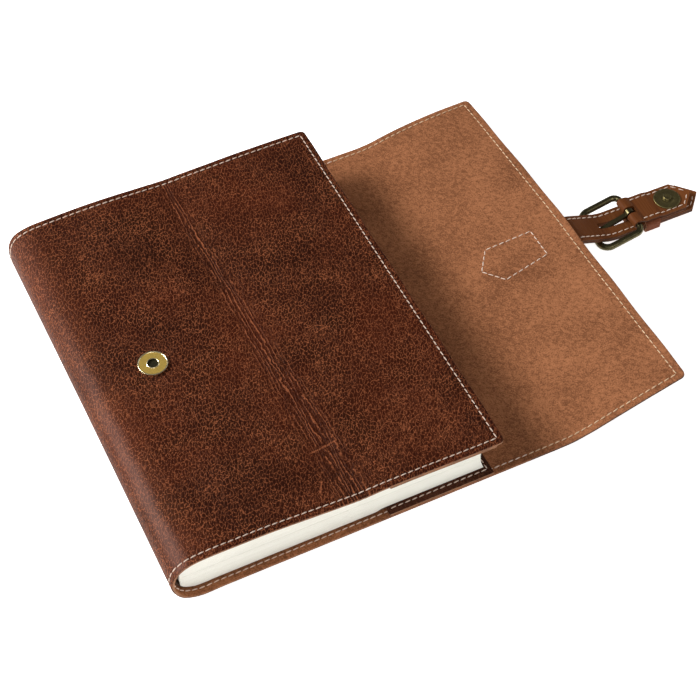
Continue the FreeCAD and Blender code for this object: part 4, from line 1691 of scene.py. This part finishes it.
@dataclass
class BuckleTab:
    """The tab folded round the buckle's heel bar, with its stud and the keeper loop."""

    strap: Strap
    sewing: Sewing
    half_width: float = 9.1
    ply: float = 1.2
    heel: tuple[float, float] = (14.2, 2.75)
    fold_radius: float = 2.0
    tip: float = 50.7
    shoulder: float = 42.7
    snap: float = 36.55
    slot_half: float = 2.2
    seam_inset: float = 2.1
    seam_start: float = 17.4
    keeper_half: float = 10.2
    keeper_low: float = -3.75
    keeper_high: float = 1.95
    keeper_corner: float = 1.2
    keeper_middle: float = 22.6
    keeper_reach: float = 4.2
    stud_rise: float = 2.85

    def __post_init__(self) -> None:
        """Works out the tab's middle line, from its lower tip round the bar to its upper tip."""
        centre_x, centre_z = self.heel
        turns = [math.radians(270 - step * 15) for step in range(12)]
        arc = [(centre_x + self.fold_radius * math.cos(a), centre_z + self.fold_radius * math.sin(a))
               for a in turns]
        upper = [(16.4, 4.45), (18.6, 3.20), (26.6, 3.15), (29.6, 2.28), (42.0, 2.28), (self.tip, 2.02)]
        local = [(self.tip, 0.75), (centre_x + 0.4, 0.75)] + arc + upper
        origin = self.strap.bend_place
        self.line = Ribbon([(origin[0] + x, origin[1] + z) for x, z in local])
        self.total = float(self.line.reach[-1])

    def half(self, s: Array) -> Array:
        """Half the tab's width, pointed at both of its ends."""
        end = np.minimum(s, self.total - s)
        return np.interp(end, [0.0, self.tip - self.shoulder], [0.35, self.half_width])

    def lay(self, s: Array, side: Array, share: Array) -> Array:
        """Points of the tab: share 0 is the face next to the bar.

        Args:
            s: Places along the tab.
            side: Shares of its half width, -1 to 1.
            share: 1 for the outer face and 0 for the face next to the bar.

        Returns:
            The points.
        """
        half = self.half(s)
        y = side * half
        edge = np.minimum(half - np.abs(y), np.minimum(s, self.total - s) * 0.8)
        drop = rim_drop(np.maximum(edge, 0.0), 0.35)
        outer = self.ply / 2 - drop - groove(edge, self.seam_inset, 0.12)
        inner = -self.ply / 2 + drop * 0.6
        return self.line.points(s, y, np.where(share > 0.5, outer, inner), 0.5)

    def build(self) -> list[bpy.types.Object]:
        """Makes the tab, its seam, the keeper and the stud.

        Returns:
            The pieces.
        """
        side = np.array([0, 0.012, 0.035, 0.075, 0.12, 0.17, 0.22, 0.28, 0.36])
        across = np.unique(np.round(np.concatenate([side * 2 - 1, [-0.2, 0, 0.2], 1 - side * 2]), 4))
        rim = np.array([0.15, 0.45])
        along = np.unique(np.concatenate([np.arange(0, self.total, 0.8), [self.total], rim,
                                          self.total - rim]))
        tab = sheet_of("buckle_tab_leather", along, across, self.lay,
                       (Finish.STRAP_GRAIN, Finish.STRAP_GRAIN, Finish.BURNISHED))
        self._cut_slot(tab)
        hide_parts("buckle_tab")
        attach(tab, "strap_end")
        return [tab, self._sew(), self._keeper(), self._stud()]

    def _cut_slot(self, tab: bpy.types.Object) -> None:
        """Cuts the prong's slot through the fold.

        Args:
            tab: The tab.
        """
        origin = self.strap.bend_place
        cutter = cut_block("tab_cutter", (1, 1, 1))
        unit = vertex_array(cutter)
        x = origin[0] + self.heel[0] + 0.2 + unit[:, 0] * 6.6
        z = origin[1] + 3.0 + unit[:, 2] * 9.0
        move_vertices(cutter, np.stack([x, unit[:, 1] * 2 * self.slot_half, z], axis=1))
        apply_modifier(tab, "BOOLEAN", operation="DIFFERENCE", object=cutter, solver="EXACT")
        bpy.data.objects.remove(cutter)
        smooth(tab)

    def _sew(self) -> bpy.types.Object:
        """Sews the tab's upper layer, from its fold round its point.

        Returns:
            The stitches.
        """
        fold_end = self.total - (self.tip - self.seam_start)
        count = 36
        runs = []
        lift = self.ply / 2 - 0.02
        for side in (-1.0, 1.0):
            for start, end in ((fold_end, self.total - 8.6), (self.total - 8.4, self.total - 2.6)):
                s = np.linspace(start, end, count)
                y = side * (self.half(s) - self.seam_inset)
                here = self.line.points(s, y, np.full(count, lift), 0.5)
                over = self.line.points(s, y, np.full(count, lift + 1.0), 0.5)
                runs.append((here, over - here))
        return self.sewing.row_of("buckle_tab_stitches", runs, "strap_end", "strap_leather")

    def _keeper(self) -> bpy.types.Object:
        """The loop that holds the free tip of the strap.

        Returns:
            The loop.
        """
        origin = self.strap.bend_place
        corner = self.keeper_corner
        side = self.keeper_half - corner
        high, low = self.keeper_high - corner, self.keeper_low + corner
        around = []
        for centre_y, centre_z, start in (
            (side, high, 0), (-side, high, 90), (-side, low, 180), (side, low, 270),
        ):
            for step in range(5):
                turn = math.radians(start + step * 22.5)
                around.append((centre_y + corner * math.cos(turn), centre_z + corner * math.sin(turn)))
        around.append(around[0])
        path = np.array(around)
        reach = reach_along(path)
        total = reach[-1]

        def lay(s: Array, x: Array, share: Array) -> Array:
            """Points of the loop: s runs round it and x along the strap.

            Args:
                s: Places round the loop.
                x: Places along the strap.
                share: 1 for the outer face and 0 for the inner one.

            Returns:
                The points.
            """
            y, z = walk(path, reach, s % total)
            tangent = walk(path, reach, (s + 0.3) % total) - walk(path, reach, (s - 0.3) % total)
            tangent /= np.linalg.norm(tangent, axis=0)
            edge = self.keeper_reach - np.abs(x - self.keeper_middle)
            lift = np.where(share > 0.5, 0.55 - rim_drop(edge, 0.3), -0.5)
            place = [origin[0] + x, y + tangent[1] * lift, origin[1] + z - tangent[0] * lift]
            return np.stack(place, axis=1)

        along = np.linspace(0.0, total, 97)
        inward = self.keeper_reach - np.array([0.0, 0.1, 0.35, 1.0, 2.2])
        across = self.keeper_middle + np.concatenate([-inward, [0.0], inward[::-1]])
        piece = sheet_of("keeper_leather_loop", along, across, lay,
                         (Finish.KEEPER_GRAIN, Finish.FLESH, Finish.CUT))
        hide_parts("keeper_loop")
        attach(piece, "strap_end")
        return piece

    def _stud(self) -> bpy.types.Object:
        """The stud's plate and nub.

        Returns:
            The stud.
        """
        origin = self.strap.bend_place
        base = origin[1] + self.stud_rise
        rings = ((6.6, 0.0), (6.95, 0.12), (7.0, 0.35), (6.85, 0.58), (6.5, 0.70), (5.9, 0.66), (3.9, 0.62),
                 (3.5, 0.80), (2.9, 0.84), (2.35, 0.78), (2.2, 0.95), (2.15, 1.70), (1.85, 2.0), (1.1, 1.95),
                 (0.6, 1.72))
        piece = turned_disc("snap_stud_plate", rings, (origin[0] + self.snap, 0.0, base))
        piece.data.materials.append(material_of(Finish.STUD_BRASS))
        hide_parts("snap_stud")
        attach(piece, "strap_end")
        return piece


def turned_disc(name: str, rings: Sequence[tuple[float, float]],
                centre: tuple[float, float, float]) -> bpy.types.Object:
    """A turned metal piece, extruded ring by ring from its base.

    Args:
        name: The piece's name.
        rings: Radius and height of each ring.
        centre: The middle of its base.

    Returns:
        The closed piece.
    """
    bpy.ops.object.select_all(action="DESELECT")
    bpy.ops.mesh.primitive_circle_add(vertices=72, radius=rings[0][0] / 1000.0, fill_type="NGON",
                                      location=(0.0, 0.0, rings[0][1] / 1000.0))
    piece = bpy.context.object
    rename(piece, name)
    bpy.ops.object.transform_apply(location=True, rotation=False, scale=False)
    bpy.ops.object.mode_set(mode="EDIT")
    bpy.ops.mesh.select_all(action="SELECT")
    for (before, low), (radius, high) in zip(rings, rings[1:]):
        bpy.ops.mesh.extrude_region_move(
            TRANSFORM_OT_translate={"value": (0.0, 0.0, (high - low) / 1000.0)}
        )
        bpy.ops.transform.resize(value=(radius / before, radius / before, 1.0),
                                 center_override=(0.0, 0.0, high / 1000.0))
    bpy.ops.mesh.select_all(action="SELECT")
    bpy.ops.mesh.normals_make_consistent(inside=False)
    bpy.ops.object.mode_set(mode="OBJECT")
    piece.data.transform(Matrix.Translation(row(*centre)))
    smooth(piece, 40.0)
    return piece


def finish_rings(piece: bpy.types.Object, centre: tuple[float, float, float],
                 bands: Sequence[tuple[float, Finish]]) -> None:
    """Gives a turned piece one finish for each band of its radius.

    Args:
        piece: The turned piece.
        centre: The middle of its base.
        bands: The outer radius of each band and its finish, from the widest in.
    """
    middle = row(*centre)
    for _, finish in bands:
        piece.data.materials.append(material_of(finish))
    for face in piece.data.polygons:
        radius = (face.center - middle).xy.length * 1000.0
        face.material_index = sum(radius <= outer for outer, _ in bands) - 1


@dataclass
class SnapSocket:
    """The magnetic snap's socket on the front board."""

    x: float
    face: float = 27.35

    def build(self) -> bpy.types.Object:
        """Makes the socket's cap.

        Returns:
            The cap.
        """
        rings = ((6.9, 0.0), (7.2, 0.20), (7.22, 0.80), (7.12, 1.10), (6.85, 1.24), (6.62, 1.20),
                 (6.45, 1.02), (3.1, 1.0), (2.95, 1.14), (2.75, 1.20), (2.58, 1.12), (2.5, 0.85),
                 (2.45, 0.25), (1.2, 0.2))
        centre = (self.x, 0.0, self.face)
        piece = turned_disc("snap_socket_face", rings, centre)
        # The innermost band, the hole's floor, is painted near-black as painted shade.
        bands = ((9.0, Finish.RUBBED_BRASS), (6.5, Finish.SOCKET_BRASS), (3.05, Finish.RUBBED_BRASS),
                 (2.52, Finish.SOCKET_HOLE_SHADE))
        finish_rings(piece, centre, bands)
        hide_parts("snap_socket_cap")
        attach(piece, "front")
        return piece


@dataclass
class BuckleFrame:
    """The buckle's frame, with its bars fuller where no leather is folded round them."""

    extra: float = 0.42
    bar_half: float = 9.9
    bar_reach: float = 2.9

    def build(self) -> bpy.types.Object:
        """Makes the fuller frame from a copy of the plain one.

        Returns:
            The frame.
        """
        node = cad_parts["buckle_frame"]
        piece = node.copy()
        piece.data = node.data.copy()
        rename(piece, "buckle_wire")
        bpy.context.scene.collection.objects.link(piece)
        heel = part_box("buckle_frame")[1].x - self.bar_reach / 1000.0
        half = self.bar_half / 1000.0
        select_only(piece)
        bpy.ops.object.mode_set(mode="EDIT")
        bpy.ops.mesh.select_all(action="SELECT")
        bpy.ops.mesh.remove_doubles(threshold=1e-6)
        for place in (-half, half):
            bpy.ops.mesh.select_all(action="SELECT")
            bpy.ops.mesh.bisect(plane_co=(0.0, place, 0.0), plane_no=(0.0, 1.0, 0.0))
        bpy.ops.mesh.select_all(action="DESELECT")
        bpy.ops.object.mode_set(mode="OBJECT")
        points = vertex_array(piece)
        fuller = (np.abs(points[:, 1]) > half + 1e-5) | (points[:, 0] < heel)
        bpy.context.tool_settings.mesh_select_mode = (True, False, False)
        piece.data.vertices.foreach_set("select", fuller)
        bpy.ops.object.mode_set(mode="EDIT")
        bpy.ops.transform.shrink_fatten(value=self.extra / 1000.0)
        bpy.ops.object.mode_set(mode="OBJECT")
        piece.data.materials.clear()
        piece.data.materials.append(material_of(Finish.BUCKLE_BRASS))
        smooth(piece, 50.0)
        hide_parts("buckle_frame")
        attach(piece, "buckle")
        return piece


def dress_metal() -> None:
    """Gives the metal parts that keep their own shape their finishes."""
    finishes = {
        "buckle_prong": Finish.BUCKLE_BRASS,
        "snap_socket_magnet": Finish.STEEL,
        "snap_socket_washer": Finish.STEEL,
        "snap_stud_washer": Finish.STEEL,
    }
    for name, finish in finishes.items():
        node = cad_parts[name]
        node.data.materials.clear()
        node.data.materials.append(material_of(finish))


# ---------------------------------------------------------------- studio


@dataclass
class Studio:
    """Floor, light and camera."""

    azimuth: float = -25.28
    elevation: float = 51.14
    roll: float = -0.55
    distance: float = 892.46
    target: tuple[float, float, float] = (131.27, -12.51, 0.0)
    lens: float = 94.17
    floor_glow: float = 0.82
    sky: float = 0.15

    def build(self) -> None:
        """Sets the whole studio up."""
        self._camera()
        self._floor()
        self._lights()

    def _camera(self) -> None:
        """Places the camera."""
        turn, lift, roll = (math.radians(v) for v in (self.azimuth, self.elevation, self.roll))
        back = Vector((math.sin(turn) * math.cos(lift), -math.cos(turn) * math.cos(lift), math.sin(lift)))
        level = Vector((math.cos(turn), math.sin(turn), 0.0))
        rise = back.cross(level)
        right = level * math.cos(roll) + rise * math.sin(roll)
        up = rise * math.cos(roll) - level * math.sin(roll)
        matrix = Matrix((right, up, back)).transposed().to_4x4()
        matrix.translation = row(*self.target) + back * self.distance / 1000.0
        data = bpy.data.cameras.new("camera")
        data.lens = self.lens
        data.sensor_width = 36.0
        data.clip_start = 0.01
        camera = bpy.data.objects.new("camera", data)
        camera.matrix_world = matrix
        bpy.context.scene.collection.objects.link(camera)
        bpy.context.scene.camera = camera

    def _floor(self) -> None:
        """Lays the pale floor."""
        bpy.ops.object.select_all(action="DESELECT")
        bpy.ops.mesh.primitive_plane_add(size=12.0, location=(0.0, 0.0, -0.0001))
        floor = bpy.context.object
        floor.name = "floor"
        paint = Paint("floor_paper", {"Specular IOR Level": 0.0, "Emission Strength": self.floor_glow})
        paint.shader.inputs["Emission Color"].default_value = (1.0, 1.0, 1.0, 1.0)
        spot = paint.place(surface=False)
        tone = paint.noise(spot, 300.0, 2.0)
        colour = paint.mix(tone, (0.90, 0.90, 0.90), (0.93, 0.93, 0.93))
        floor.data.materials.append(paint.finish(colour, 0.9 + tone * 0.05, tone, 0.01))

    def _lights(self) -> None:
        """Hangs a soft window light on the left and fills the rest."""
        world = bpy.data.worlds.new("studio")
        world.use_nodes = True
        world.node_tree.nodes["Background"].inputs[0].default_value = (1.0, 1.0, 1.0, 1.0)
        world.node_tree.nodes["Background"].inputs[1].default_value = self.sky
        bpy.context.scene.world = world
        bpy.context.scene.view_settings.view_transform = "Standard"
        self._area("window", (-1.02, 0.72, 0.88), 0.60, 28.0)
        self._area("front_fill", (-0.3, -1.3, 1.2), 1.0, 10.5)
        self._area("right_fill", (1.3, 0.1, 0.8), 0.8, 2.0)

    def _area(self, name: str, place: tuple[float, float, float], size: float, power: float) -> None:
        """Hangs one square light aimed at the object.

        Args:
            name: The light's name.
            place: Where it hangs, in metres.
            size: The length of its side, in metres.
            power: Its power in watts.
        """
        data = bpy.data.lights.new(name, "AREA")
        data.size = size
        data.energy = power
        light = bpy.data.objects.new(name, data)
        light.location = place
        light.rotation_euler = (Vector((0.0, 0.0, 0.0)) - Vector(place)).to_track_quat("-Z", "Y").to_euler()
        bpy.context.scene.collection.objects.link(light)


# ---------------------------------------------------------------- making


def report(pieces: Sequence[bpy.types.Object]) -> None:
    """Writes one line in the log for each piece."""
    for piece in pieces:
        LOG.info("%s: %d faces", piece.name, len(piece.data.polygons))


def main() -> None:
    """Makes the cover, the notebook, the strap and the studio in order."""
    logging.basicConfig(level=logging.INFO, format="%(name)s: %(message)s")
    snap_low, snap_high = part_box("snap_socket_cap")
    snap_x = (snap_low.x + snap_high.x) * 500.0 - SPINE_X
    hide = Hide(HIDE_KNOTS, snap_x)
    sewing = Sewing()
    cover = Cover(hide)
    Studio().build()
    report(cover.build())
    report(CoverSewing(cover, sewing).build())
    for body, node, inner, outer in (
        ("front", "front_sleeve", SLEEVE_MOUTH, SLEEVE_EDGE),
        ("back", "back_sleeve", BACK_OFFSET - SLEEVE_MOUTH, BACK_OFFSET - SLEEVE_EDGE),
    ):
        report(Sleeve(hide, sewing, body, node, inner, outer).build())
    notebook = Notebook(cover)
    report(notebook.cards())
    report(notebook.pages())
    strap = Strap(hide, sewing)
    report(strap.build())
    report(BuckleTab(strap, sewing).build())
    report([SnapSocket(snap_x).build(), BuckleFrame().build()])
    dress_metal()
    sewing.clear()


if __name__ == "__main__":
    main()
